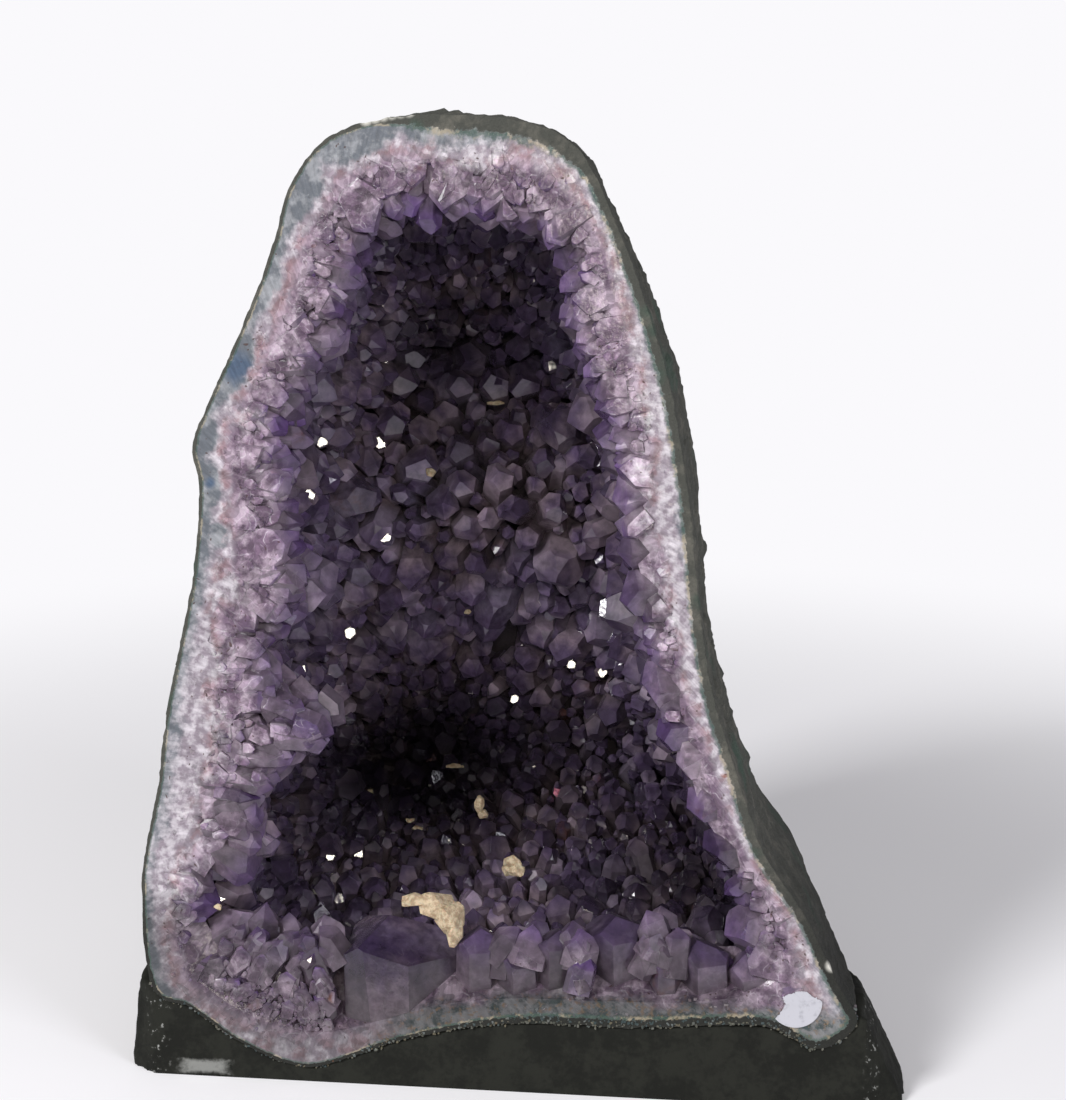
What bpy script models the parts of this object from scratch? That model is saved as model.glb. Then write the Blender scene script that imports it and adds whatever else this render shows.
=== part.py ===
"""An amethyst cathedral geode: half of a tall hollow stone, sawn open and set upright in a cement foot.

The sawn face leans back a little and looks along -Y. A place on it is given by u, to the right, and w, up
along the face; depth goes straight back from it, along +Y. The crystals line the hollow as one crust.
"""

import math
import random

import bmesh
import bpy
from mathutils import Vector, geometry, noise
from mathutils.bvhtree import BVHTree

MM = 0.001

# Driving dimensions of the stone
FACE_LEAN = math.radians(7)
STONE_DEPTH = 200 * MM
HOLLOW_DEPTH = 182 * MM
POLE_U, POLE_W = -22 * MM, 178 * MM
TOP_W = 458 * MM
DEPTH_AT_FOOT, DEPTH_AT_TOP = 1.03, 0.80

# How full the bowls are: powers of the cosine across the face and of the sine into its depth
STONE_FULLNESS = (0.62, 0.92)
HOLLOW_FULLNESS = (0.66, 0.95)

# The sawn face's outer edge, clockwise from the lower left: u and w in millimetres
STONE_EDGE = (
    (-174, 44),
    (-179, 95),
    (-171, 141),
    (-166, 180),
    (-154, 240),
    (-150, 285),
    (-153, 306),
    (-144, 330),
    (-130, 360),
    (-115, 398),
    (-106, 428),
    (-88, 449),
    (-57, 458),
    (-25, 459),
    (5, 455),
    (28, 442),
    (44, 412),
    (60, 371),
    (72, 330),
    (81, 280),
    (86, 235),
    (93, 195),
    (105, 158),
    (117, 123),
    (138, 92),
    (154, 60),
    (163, 42),
    (145, 29),
    (118, 39),
    (62, 35),
    (0, 34),
    (-50, 24),
    (-95, 8),
    (-128, 17),
    (-155, 34),
)

# The line along which the sawn crystals are rooted, the same way round: u, w and the crystals' length there
ROOT_LINE = (
    (-159, 58, 30),
    (-163, 95, 28),
    (-150, 141, 31),
    (-143, 180, 34),
    (-132, 225, 29),
    (-129, 260, 27),
    (-127, 300, 22),
    (-121, 332, 28),
    (-108, 362, 28),
    (-97, 392, 26),
    (-89, 414, 26),
    (-72, 433, 27),
    (-46, 439, 28),
    (-20, 438, 27),
    (2, 433, 28),
    (19, 421, 28),
    (31, 400, 30),
    (44, 364, 27),
    (55, 328, 25),
    (63, 290, 24),
    (70, 245, 25),
    (77, 205, 25),
    (87, 170, 23),
    (97, 140, 20),
    (109, 116, 18),
    (123, 92, 18),
    (131, 74, 20),
    (125, 60, 22),
    (108, 52, 27),
    (80, 48, 34),
    (40, 47, 35),
    (0, 46, 35),
    (-35, 41, 37),
    (-60, 33, 40),
    (-92, 25, 42),
    (-120, 30, 40),
    (-142, 41, 36),
)

# How the back of the stone swells past the sawn edge: u, w, swell, in millimetres
FLANK_SWELLS = (
    (150, 110, 12),
    (80, 330, 12),
    (110, 230, 4),
    (-185, 110, 9),
    (-160, 280, 4),
    (-20, 470, 4),
)
SWELL_REACH = 80 * MM
LUMP_HEIGHT, LUMP_SPACING = 3.2 * MM, 34 * MM

# The waist of the back wall, which leans forward between an upper and a lower hollow
WAIST_U, WAIST_W = -28 * MM, 252 * MM
WAIST_HALF_WIDTH, WAIST_HALF_HEIGHT = 100 * MM, 52 * MM
WAIST_REACH = 58 * MM

# Crystals: lengths are from root to point, a foot is how high a crystal's neighbours hide it
WALL_CRYSTALS = 520
CRYSTAL_SPREAD = 11 * MM
SPREAD_SHARES = (0.56, 0.62, 0.68, 0.76, 0.95)
PRISM_FROM_SHARE = 0.9
WALL_CRYSTAL_LENGTH = 26 * MM
LENGTH_BESIDE_SPREAD = (0.6, 0.5)
LENGTH_VARIES = (0.85, 1.15)
CRYSTAL_TILT = 0.16
LEAST_ROOM = 0.9
WALL_TURNS = (0.05, 0.98)
MOST_TRIES = 40000
FOOT_SHARE, RIM_FOOT_SHARE, LARGEST_FOOT_SHARE = 0.50, 0.58, 0.40
SHOULDER_SHARE, SHOULDER_INSET = 0.74, 0.84
LEAST_DEPTH = 2.5 * MM
SETTLING_ROUNDS = 60
STRAIGHTENED_SHARE, SHORTENED_TO, TALLEST_FOOT = 0.5, 0.96, 1 / 1.1
LIFTED_BY = 1 * MM
SEED = 11

# The sawn crystals: their width beside their length, and how they turn away from the wall
FACE_CRYSTAL_WIDTH = 0.66
FACE_LENGTH_VARIES = (0.82, 1.12)
FACE_LEAN_VARIES = 0.16
LEAN_TO_POLE = 0.6
EVENED_OVER = 28

# The largest crystal, sawn at the face: u and w of its root, its width and its length
LARGEST_CRYSTAL = (-58, 33, 46, 54)

# More large crystals behind the face: u, w and depth of the root, spread and length
LARGE_CRYSTALS = (
    (-14, 44, 24, 13, 38),
    (28, 46, 26, 14, 40),
    (68, 48, 26, 14, 38),
    (-132, 108, 26, 14, 36),
    (-52, 60, 128, 16, 36),
    (52, 72, 118, 16, 38),
    (20, 50, 70, 15, 36),
)

# The cement foot. Its sides batter by a share of their height.
FOOT_LEFT, FOOT_RIGHT = -174 * MM, 169 * MM
FOOT_HALF_WIDTH = 190 * MM
FOOT_WIDEST = 35 * MM
FOOT_STEP_IN = 4 * MM
FOOT_BACK = 218 * MM
FOOT_HEIGHT = 44 * MM
FOOT_FALL, FOOT_FALLS_FROM, FOOT_FALLS_OVER = 16 * MM, 20 * MM, 90 * MM
FOOT_BATTER_LEFT, FOOT_BATTER_RIGHT, FOOT_BATTER_BACK = 0.10, 0.50, 0.30
FOOT_FACE_INSET = 0.8 * MM
FOOT_LUMP_HEIGHT = 2 * MM
FOOT_LUMPS_FROM, FOOT_LUMPS_OVER = 20 * MM, 40 * MM
FOOT_CORNER_DEPTHS = (8 * MM, 20 * MM)
FOOT_FRONT_STEPS, FOOT_BACK_STEPS = 8, 14
FOOT_LEVELS = (0.0, 0.12, 0.5, 1.0)

# Clearances and grids
TOUCHING_GAP = 0.35 * MM
POCKET_GROWTH = 0.6 * MM
POCKET_FORWARD = 12 * MM
AROUND = 60
BOWL_RINGS = 9
CURVE_STEPS = 1200
ROOT_STEPS = 720
INSIDE_THE_RIM = 1
SMOOTH_BELOW = math.radians(40)

# Calcite grown on the crystals: name, u, w, depth, half sizes along u, depth and w, turn in degrees
CALCITE = (
    ("calcite_cluster", -36, 79, 12, 17, 8, 8, -22),
    ("calcite_chip_floor", -5, 91, 52, 6.5, 5, 5.5, 15),
    ("calcite_chip_back", -27, 106, 92, 4.5, 4, 6.5, 0),
)

# The torn round label on the lower right of the sawn face, in millimetres
LABEL_U, LABEL_W = 134.5, 51.5
LABEL_RADIUS = 12.5
LABEL_THICKNESS = 0.5 * MM
LABEL_TORN_EDGE = ((9.6, 2.0), (4.4, 5.0), (1.4, 4.7), (-3.0, 3.3), (-5.6, 2.2), (-4.6, -0.8), (-5.6, -3.8))
LABEL_ARC = (math.radians(-136), math.radians(4))
LABEL_ARC_STEPS = 14


def on_face(u, w, depth=0.0):
    """The point of the object at u and w of the sawn face, that far behind it."""
    return Vector((u, w * math.sin(FACE_LEAN) + depth, w * math.cos(FACE_LEAN)))


def bump(distance, reach):
    """A smooth bell that is 1 at no distance."""
    return math.exp(-((distance / reach) ** 2))


def spline(points, part):
    """The closed smooth curve through the points, at a part from 0 to 1 of its run."""
    place = part * len(points)
    index = int(math.floor(place))
    t = place - index
    a, b, c, d = (points[(index + k) % len(points)] for k in (-1, 0, 1, 2))
    return tuple(
        q + 0.5 * t * (r - p + t * (2 * p - 5 * q + 4 * r - s + t * (3 * (q - r) + s - p)))
        for p, q, r, s in zip(a, b, c, d)
    )


def even_loop(points, count):
    """The closed curve through the points as count entries in metres, evenly spaced along it."""
    fine = [spline(points, i / CURVE_STEPS) for i in range(CURVE_STEPS)]
    run = [0.0]
    for here, after in zip(fine, fine[1:] + fine[:1]):
        run.append(run[-1] + math.hypot(after[0] - here[0], after[1] - here[1]))
    found = []
    at = 0
    for i in range(count):
        while run[at + 1] <= run[-1] * i / count:
            at += 1
        found.append(tuple(value * MM for value in fine[at]))
    return found


def inward(loop, index, reach):
    """The direction in the face that points from the edge at this entry into the stone."""
    before, after = loop[index - reach], loop[(index + reach) % len(loop)]
    along = Vector((after[0] - before[0], after[1] - before[1])).normalized()
    return Vector((along.y, -along.x))


def root_line():
    """The line of roots in fine steps, straight from one vertex of the body's rings to the next."""
    coarse = even_loop(ROOT_LINE, AROUND)
    found = []
    for a, b in zip(coarse, coarse[1:] + coarse[:1]):
        for i in range(ROOT_STEPS // AROUND):
            share = i * AROUND / ROOT_STEPS
            found.append(tuple(p + (q - p) * share for p, q in zip(a, b)))
    return found


def depth_scale(w):
    """How deep the stone is at this height, beside its full depth."""
    share = min(max(w / TOP_W, 0.0), 1.0)
    return DEPTH_AT_FOOT + (DEPTH_AT_TOP - DEPTH_AT_FOOT) * share


def swell(u, w):
    """How far the flank stands out past the sawn edge near u and w."""
    return sum(
        out * MM * bump(math.hypot(u - at_u * MM, w - at_w * MM), SWELL_REACH)
        for at_u, at_w, out in FLANK_SWELLS
    )


def bowl(turn, fullness):
    """A bowl's shares of its width and of its depth: turn is 0 at the sawn face and 1 at the back pole."""
    angle = turn * math.pi / 2
    return math.cos(angle) ** fullness[0], math.sin(angle) ** fullness[1]


def stone_point(u, w, turn):
    """A point of the stone's outside at this turn behind the edge point (u, w)."""
    angle = turn * math.pi / 2
    across, back = bowl(turn, STONE_FULLNESS)
    out = Vector((u - POLE_U, w - POLE_W))
    out *= across * (1 + swell(u, w) * math.sin(2 * angle) ** 0.8 / out.length)
    at_u, at_w = POLE_U + out.x, POLE_W + out.y
    depth = STONE_DEPTH * depth_scale(at_w) * back
    point = on_face(at_u, at_w, depth)
    lump = noise.fractal(point / LUMP_SPACING, 1.0, 2.0, 3) * LUMP_HEIGHT * math.sin(angle) ** 0.5
    outward = Vector((out.x, depth * 0.7, out.y))
    return point + outward.normalized() * lump


def waist(u, w):
    """How far the back wall leans forward at u and w."""
    sideways = (u - WAIST_U) / WAIST_HALF_WIDTH
    upward = (w - WAIST_W) / WAIST_HALF_HEIGHT
    return WAIST_REACH * math.exp(-(sideways**2) - upward**2)


def hollow_point(u, w, turn, lift=0.0):
    """A point of the hollow's wall behind the root line's (u, w), lifted off the wall towards the inside."""
    angle = turn * math.pi / 2
    across, back = bowl(turn, HOLLOW_FULLNESS)
    out = Vector((u - POLE_U, w - POLE_W))
    radius = max(out.length * across - lift * math.cos(angle), 0.0)
    at = Vector((POLE_U, POLE_W)) + out.normalized() * radius
    depth = HOLLOW_DEPTH * depth_scale(at.y) * back
    depth -= waist(at.x, at.y) * math.sin(angle) ** 2 + lift * math.sin(angle)
    return on_face(at.x, at.y, max(depth, 0.0))


def add_rings(mesh, rings, pole):
    """Vertices for the rings and the pole, joined by faces. Returns the rings of vertices."""
    made = [[mesh.verts.new(point) for point in ring] for ring in rings]
    end = mesh.verts.new(pole)
    count = len(made[0])
    for near, far in zip(made, made[1:]):
        for i in range(count):
            j = (i + 1) % count
            mesh.faces.new((near[i], near[j], far[j]))
            mesh.faces.new((near[i], far[j], far[i]))
    for i in range(count):
        mesh.faces.new((made[-1][i], made[-1][(i + 1) % count], end))
    return made


def ring_turns():
    """The turn of each ring of a bowl, closer together near the pole, where the wall runs flat."""
    return [1 - (1 - i / BOWL_RINGS) ** 1.5 for i in range(BOWL_RINGS)]


def add_stone_outside(mesh):
    """The rings of the stone's outside, from the sawn edge to the back pole."""
    loop = even_loop(STONE_EDGE, AROUND)
    rings = [[stone_point(u, w, turn) for u, w in loop] for turn in ring_turns()]
    return add_rings(mesh, rings, stone_point(*loop[0], 1.0))


def add_hollow(mesh, lift):
    """The rings of the hollow's wall, lifted off it towards the inside, from the root line to the pole."""
    roots = [(u, w) for u, w, _ in even_loop(ROOT_LINE, AROUND)]
    rings = [[hollow_point(u, w, turn, lift) for u, w in roots] for turn in ring_turns()]
    return add_rings(mesh, rings, hollow_point(*roots[0], 1.0, lift))


def fill_between(mesh, outer, inner):
    """Fills the flat ring between two closed lines of vertices in the sawn face."""
    edges = []
    for line in (outer, inner):
        for one, other in zip(line, line[1:] + line[:1]):
            edges.append(mesh.edges.get((one, other)))
    facing = (0, -math.cos(FACE_LEAN), math.sin(FACE_LEAN))
    bmesh.ops.triangle_fill(mesh, use_beauty=True, edges=edges, normal=facing)


def material(name, colour, roughness):
    """A plain finish for one piece."""
    made = bpy.data.materials.new(name)
    made.use_nodes = True
    shader = made.node_tree.nodes["Principled BSDF"]
    shader.inputs["Base Color"].default_value = (*colour, 1.0)
    shader.inputs["Roughness"].default_value = roughness
    return made


def finished(mesh, name, finish, smooth=False):
    """The mesh as a named object with its faces pointing out."""
    bmesh.ops.recalc_face_normals(mesh, faces=mesh.faces)
    data = bpy.data.meshes.new(name)
    mesh.to_mesh(data)
    mesh.free()
    if smooth:
        data.shade_smooth()
        data.set_sharp_from_angle(angle=SMOOTH_BELOW)
    data.materials.append(finish)
    made = bpy.data.objects.new(name, data)
    bpy.context.scene.collection.objects.link(made)
    return made


def cut_away(body, cutter):
    """Cuts a helper out of the body with a Boolean and hides the helper."""
    cutter.hide_render = True
    cutter.display_type = "WIRE"
    cut = body.modifiers.new("cut_" + cutter.name, "BOOLEAN")
    cut.operation = "DIFFERENCE"
    cut.solver = "EXACT"
    cut.object = cutter


def build_stone():
    """The stone: its rough outside, the sawn band of rind and agate, and the wall behind the crystals."""
    mesh = bmesh.new()
    outside = add_stone_outside(mesh)[0]
    inside = add_hollow(mesh, 0.0)[0]
    for i in range(AROUND):
        j = (i + 1) % AROUND
        mesh.faces.new((outside[i], outside[j], inside[j], inside[i]))
    return finished(mesh, "geode_stone", material("agate_and_rind", (0.30, 0.30, 0.31), 0.6), True)


class Crystal:
    """One crystal of the crust: where it is rooted, the way it points, its spread and its length."""

    def __init__(self, place, root, inside, points_to, spread, length, on_edge=False, prism=False):
        self.place = place
        self.root = root
        self.inside = inside
        self.points_to = points_to
        self.spread = spread
        self.length = length
        self.foot = length * (RIM_FOOT_SHARE if on_edge else FOOT_SHARE)
        self.on_edge = on_edge
        self.prism = prism

    def tip(self):
        """The crystal's point."""
        point = self.root + self.points_to * self.length
        return point if self.on_edge else behind_face(point)

    def straighten(self, middle):
        """Turns the crystal towards the middle of its foot and shortens it a little."""
        rise = middle - self.root
        self.length = max(self.length * SHORTENED_TO, rise.length / TALLEST_FOOT)
        if not self.on_edge:
            self.points_to = (self.points_to + rise.normalized() * STRAIGHTENED_SHARE).normalized()

    def lift(self):
        """Raises the crystal's foot and point, where its foot would sink into the wall."""
        self.foot += LIFTED_BY
        self.length += LIFTED_BY


def wall_frame(roots, step, turn):
    """The wall's point at a step of the root line and a turn, and the direction from it to the inside."""
    u, w, _ = roots[step]
    here = hollow_point(u, w, turn)
    ahead, behind = roots[(step + 4) % ROOT_STEPS], roots[step - 4]
    along = hollow_point(ahead[0], ahead[1], turn) - hollow_point(behind[0], behind[1], turn)
    deeper = hollow_point(u, w, min(turn + 0.03, 1.0)) - hollow_point(u, w, turn - 0.03)
    inside = deeper.cross(along)
    if inside.length < 1e-9:
        return here, Vector((0, -1, 0))
    inside.normalize()
    return here, inside if inside.dot(here - on_face(POLE_U, POLE_W)) < 0 else -inside


def edge_places(roots):
    """Where the sawn crystals stand: (step of the root line, width, length), in the line's order."""
    u, w, width, length = (value * MM for value in LARGEST_CRYSTAL)
    largest = min(range(ROOT_STEPS), key=lambda i: math.hypot(roots[i][0] - u, roots[i][1] - w))
    step_length = math.hypot(roots[1][0] - roots[0][0], roots[1][1] - roots[0][1])
    places = [(largest, width, length)]
    at = largest + 0.5 * width / step_length
    last = largest + ROOT_STEPS - 0.5 * width / step_length
    while at < last:
        grown = roots[int(at) % ROOT_STEPS][2]
        run = min(grown * FACE_CRYSTAL_WIDTH / step_length, last - at)
        if last - at - run < 0.5 * run:
            run = last - at
        places.append((int(at + run / 2) % ROOT_STEPS, run * step_length, grown))
        at += run
    return sorted(places)


def edge_crystals(roots):
    """The crystals that the saw cut through, whose points lie in the sawn face."""
    chance = random.Random(SEED)
    found = []
    for step, width, length in edge_places(roots):
        u, w, _ = roots[step]
        to_pole = Vector((POLE_U - u, POLE_W - w)).normalized()
        way = (inward(roots, step, EVENED_OVER) + to_pole * LEAN_TO_POLE).normalized()
        lean = chance.uniform(-FACE_LEAN_VARIES, FACE_LEAN_VARIES)
        direction = Vector((way.x - way.y * lean, way.y + way.x * lean)).normalized()
        points_to = on_face(direction.x, direction.y)
        largest = length == LARGEST_CRYSTAL[3] * MM
        grown = length * (1.0 if largest else chance.uniform(*FACE_LENGTH_VARIES))
        crystal = Crystal((step, 0.0), on_face(u, w), points_to, points_to, width / 2, grown, True, largest)
        if largest:
            crystal.foot = length * LARGEST_FOOT_SHARE
        found.append(crystal)
    return found


def nearest_place(roots, wanted):
    """The place of the wall, as (step, turn), that comes nearest to the wanted point."""
    places = ((step, turn / 80) for step in range(0, ROOT_STEPS, 4) for turn in range(4, 76))
    return min(places, key=lambda place: (hollow_point(*roots[place[0]][:2], place[1]) - wanted).length)


def large_crystals(roots):
    """The few crystals that stand out, rooted where the wall comes nearest to their given places."""
    found = []
    for u, w, depth, spread, length in LARGE_CRYSTALS:
        place = nearest_place(roots, on_face(u * MM, w * MM, depth * MM))
        here, inside = wall_frame(roots, *place)
        found.append(Crystal(place, here, inside, inside, spread * MM, length * MM, prism=True))
    return found


def wall_crystals(roots, taken):
    """The crystals of the wall, scattered so that each has its own room beside those taken already."""
    chance = random.Random(SEED + 1)
    found = list(taken)
    least, slope = LENGTH_BESIDE_SPREAD
    for _ in range(MOST_TRIES):
        if len(found) - len(taken) == WALL_CRYSTALS:
            break
        step = chance.randrange(ROOT_STEPS)
        turn = chance.uniform(*WALL_TURNS)
        if chance.random() > bowl(turn, HOLLOW_FULLNESS)[0]:
            continue
        here, inside = wall_frame(roots, step, turn)
        share = chance.choice(SPREAD_SHARES)
        spread = CRYSTAL_SPREAD * share
        if min((c.root - here).length / (c.spread + spread) for c in found) < LEAST_ROOM:
            continue
        tilt = Vector([chance.gauss(0, CRYSTAL_TILT) for _ in range(3)])
        length = WALL_CRYSTAL_LENGTH * (least + slope * share) * chance.uniform(*LENGTH_VARIES)
        points_to = (inside + tilt).normalized()
        prism = share > PRISM_FROM_SHARE
        found.append(Crystal((step, turn), here, inside, points_to, spread, length, prism=prism))
    return found


def neighbours(roots, crystals):
    """Which crystals touch each other, three by three, found on the wall laid out flat round its pole."""
    flat = []
    for crystal in crystals:
        step, turn = crystal.place
        out = Vector((roots[step][0] - POLE_U, roots[step][1] - POLE_W))
        reach = out.length * bowl(turn, HOLLOW_FULLNESS)[0] + 0.55 * HOLLOW_DEPTH * (1 - turn)
        flat.append(out.normalized() * reach)
    count = sum(crystal.on_edge for crystal in crystals)
    rim = [(i, (i + 1) % count) for i in range(count)]
    return geometry.delaunay_2d_cdt(flat, rim, [], INSIDE_THE_RIM, 1e-7)[2]


def valley(crystals):
    """Where neighbouring crystals meet: nearer to the smaller ones, and part of the way up."""
    weights = [1 / c.spread for c in crystals]
    total = sum(weights)
    place = sum((c.root * k for c, k in zip(crystals, weights)), Vector()) / total
    rise = min(c.foot for c in crystals)
    inside = sum((c.inside for c in crystals), Vector()).normalized()
    return behind_face(place + inside * rise)


def behind_face(point):
    """The same point, moved back where it comes too near to the sawn face."""
    depth = point.y - point.z * math.tan(FACE_LEAN)
    return point + Vector((0, max(LEAST_DEPTH - depth, 0.0), 0))


def in_face(point):
    """The same point moved along Y into the sawn face."""
    return Vector((point.x, point.z * math.tan(FACE_LEAN), point.z))


def shoulder(crystal, corner):
    """Where an upright side of the crystal, over this corner of its foot, turns into a side of its point."""
    foot = corner - crystal.root
    up = crystal.points_to
    sideways = foot - up * foot.dot(up)
    height = max(crystal.length * SHOULDER_SHARE, foot.dot(up) * 1.05)
    return crystal.root + sideways * SHOULDER_INSET + up * min(height, crystal.length * 0.9)


class Crust:
    """The closed body of all crystals, rooted just inside the stone's wall, while it is made."""

    def __init__(self, crystals, triangles):
        self.crystals = crystals
        self.triangles = triangles
        self.mesh = bmesh.new()
        self.owner = {}
        self.shoulders = {}
        self.saddles = set()
        self.tips = [self.mesh.verts.new(c.tip()) for c in crystals]
        self.corners = [self.mesh.verts.new(valley([crystals[i] for i in three])) for three in triangles]
        self.grow()

    def clothe(self, index, first, second):
        """The side of one crystal over the edge of its foot from the first corner to the second."""
        made = []
        if self.crystals[index].prism:
            a, b = (self.shoulder_of(index, corner) for corner in (first, second))
            made.append(self.mesh.faces.new((first, second, b)))
            made.append(self.mesh.faces.new((first, b, a)))
            made.append(self.mesh.faces.new((a, b, self.tips[index])))
        else:
            made.append(self.mesh.faces.new((first, second, self.tips[index])))
        for face in made:
            self.owner[face] = index

    def beside(self, index, saddle):
        """The shoulder between a crystal's point and a saddle of the rim, when the crystal has one."""
        return [self.shoulder_of(index, saddle)] if self.crystals[index].prism else []

    def shoulder_of(self, index, corner):
        """The vertex of the crystal's shoulder over this corner of its foot."""
        key = (index, corner)
        if key not in self.shoulders:
            point = shoulder(self.crystals[index], corner.co)
            point = in_face(point) if corner in self.saddles else behind_face(point)
            self.shoulders[key] = self.mesh.verts.new(point)
        return self.shoulders[key]

    def grow(self):
        """Makes every crystal's faces, the sawn ring between them and the stone, and the rooted back."""
        sides = {}
        for number, (a, b, c) in enumerate(self.triangles):
            for side in ((a, b), (b, c), (c, a)):
                sides[side] = number
        rim = {}
        for (a, b), number in sides.items():
            corner = self.corners[number]
            if (b, a) in sides:
                self.clothe(a, corner, self.corners[sides[(b, a)]])
            else:
                saddle = self.mesh.verts.new(in_face(valley([self.crystals[a], self.crystals[b]])))
                self.saddles.add(saddle)
                rim[b] = (saddle, a)
                self.clothe(a, corner, saddle)
                self.clothe(b, saddle, corner)
        line = []
        here = 0
        for _ in rim:
            saddle, after = rim[here]
            line += [self.tips[here]] + self.beside(here, saddle) + [saddle] + self.beside(after, saddle)
            here = after
        fill_between(self.mesh, add_hollow(self.mesh, TOUCHING_GAP)[0], line)
        bmesh.ops.recalc_face_normals(self.mesh, faces=self.mesh.faces)

    def middle(self, index):
        """The middle of the corners of one crystal's foot."""
        feet = [corner.co for corner, three in zip(self.corners, self.triangles) if index in three]
        return sum(feet, Vector()) / len(feet)

    def crossing(self):
        """The crystals that run through one another, and those that run through the back."""
        self.mesh.faces.index_update()
        self.mesh.faces.ensure_lookup_table()
        tree = BVHTree.FromBMesh(self.mesh)
        together, sunken = set(), set()
        for i, j in tree.overlap(tree):
            one, other = self.mesh.faces[i], self.mesh.faces[j]
            if i < j and not set(one.verts) & set(other.verts):
                owners = {self.owner[face] for face in (one, other) if face in self.owner}
                if len(owners) == 2:
                    together |= owners
                else:
                    sunken |= owners
        return together, sunken


def build_crust(cutters):
    """All the crystals of the hollow, straightened until none runs through another."""
    roots = root_line()
    crystals = wall_crystals(roots, edge_crystals(roots) + large_crystals(roots))
    triangles = neighbours(roots, crystals)
    crust = Crust(crystals, triangles)
    for _ in range(SETTLING_ROUNDS):
        together, sunken = crust.crossing()
        if not together and not sunken:
            break
        for index in together:
            crystals[index].straighten(crust.middle(index))
        for index in sunken:
            crystals[index].lift()
        crust.mesh.free()
        crust = Crust(crystals, triangles)
    body = finished(crust.mesh, "crystal_crust", material("amethyst", (0.16, 0.10, 0.22), 0.15))
    for cutter in cutters:
        cut_away(body, cutter)
    return body


def rough_lump(name, centre, half, turn, grow, finish):
    """A broken lump of calcite, or the same lump grown on all sides as a cutter."""
    mesh = bmesh.new()
    bmesh.ops.create_icosphere(mesh, subdivisions=2, radius=1.0)
    spin = math.radians(turn)
    for vertex in mesh.verts:
        way = vertex.co.normalized()
        size = 0.90 + 0.22 * noise.noise(way * 1.7 + centre * 40)
        x, y, z = (way[k] * (half[k] * size + grow) for k in range(3))
        vertex.co = centre + Vector(
            (x * math.cos(spin) - z * math.sin(spin), y, x * math.sin(spin) + z * math.cos(spin))
        )
    return finished(mesh, name, finish)


def build_calcite():
    """The calcite lumps, and the pockets that they sit in."""
    finish = material("calcite", (0.72, 0.62, 0.48), 0.6)
    pockets = []
    for name, u, w, depth, *half, turn in CALCITE:
        centre = on_face(u * MM, w * MM, depth * MM)
        sizes = [value * MM for value in half]
        rough_lump(name, centre, sizes, turn, 0.0, finish)
        pockets.append(rough_lump(name + "_pocket", centre, sizes, turn, 2 * TOUCHING_GAP, finish))
    return pockets


def build_label():
    """The torn round paper label, lying just proud of the sawn face."""
    mesh = bmesh.new()
    start, end = LABEL_ARC
    arc = [start + (end - start) * i / LABEL_ARC_STEPS for i in range(LABEL_ARC_STEPS + 1)]
    rim = [(LABEL_RADIUS * math.cos(a), LABEL_RADIUS * math.sin(a)) for a in arc]
    out = Vector((0, -math.cos(FACE_LEAN), math.sin(FACE_LEAN)))
    sheets = []
    for height in (TOUCHING_GAP, TOUCHING_GAP + LABEL_THICKNESS):
        places = [on_face((LABEL_U + u) * MM, (LABEL_W + w) * MM) for u, w in rim + list(LABEL_TORN_EDGE)]
        sheets.append([mesh.verts.new(place + out * height) for place in places])
    below, above = sheets
    mesh.faces.new(above)
    mesh.faces.new(below[::-1])
    for i, vertex in enumerate(below):
        j = (i + 1) % len(below)
        mesh.faces.new((vertex, below[j], above[j], above[i]))
    return finished(mesh, "paper_label", material("white_paper", (0.85, 0.85, 0.87), 0.7))


def foot_top(y):
    """The height of the foot's upper edge at this depth: it falls a little behind the sawn face."""
    share = min(max((y - FOOT_FALLS_FROM) / FOOT_FALLS_OVER, 0.0), 1.0)
    return FOOT_HEIGHT - FOOT_FALL * share * share * (3 - 2 * share)


def foot_side(share, y, side):
    """A point of the foot's side or back: side is 1 at the right, -1 at the left and 0 at the back."""
    z = share * foot_top(y)
    batter = FOOT_BATTER_RIGHT if side > 0 else FOOT_BATTER_LEFT
    width = FOOT_HALF_WIDTH - batter * z - FOOT_STEP_IN * max(1 - y / FOOT_WIDEST, 0.0)
    return width * side, y - FOOT_BATTER_BACK * z * math.sqrt(1 - side * side), z


def foot_ring(share):
    """The foot's outline at a share of its height: the flat front, then from the right round the back."""
    z = share * FOOT_HEIGHT
    front = FOOT_FACE_INSET + z * math.tan(FACE_LEAN)
    run = (FOOT_RIGHT - FOOT_LEFT) / FOOT_FRONT_STEPS
    ring = [(FOOT_LEFT + run * i, front, z) for i in range(FOOT_FRONT_STEPS + 1)]
    ring += [foot_side(share, front + depth, 1) for depth in FOOT_CORNER_DEPTHS]
    for i in range(FOOT_BACK_STEPS + 1):
        angle = math.pi * i / FOOT_BACK_STEPS
        y = FOOT_WIDEST + (FOOT_BACK - FOOT_WIDEST) * math.sin(angle)
        ring.append(foot_side(share, y, math.cos(angle)))
    ring += [foot_side(share, front + depth, -1) for depth in FOOT_CORNER_DEPTHS[::-1]]
    return ring


def foot_lump(x, y, z):
    """How far the cement bulges at this place: not at all on the sawn front and at the underside."""
    behind = min(max((y - FOOT_LUMPS_FROM) / FOOT_LUMPS_OVER, 0.0), 1.0)
    above = min(z / (FOOT_LEVELS[1] * FOOT_HEIGHT), 1.0)
    return noise.noise(Vector((x, y, z)) / LUMP_SPACING) * FOOT_LUMP_HEIGHT * behind * above


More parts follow.
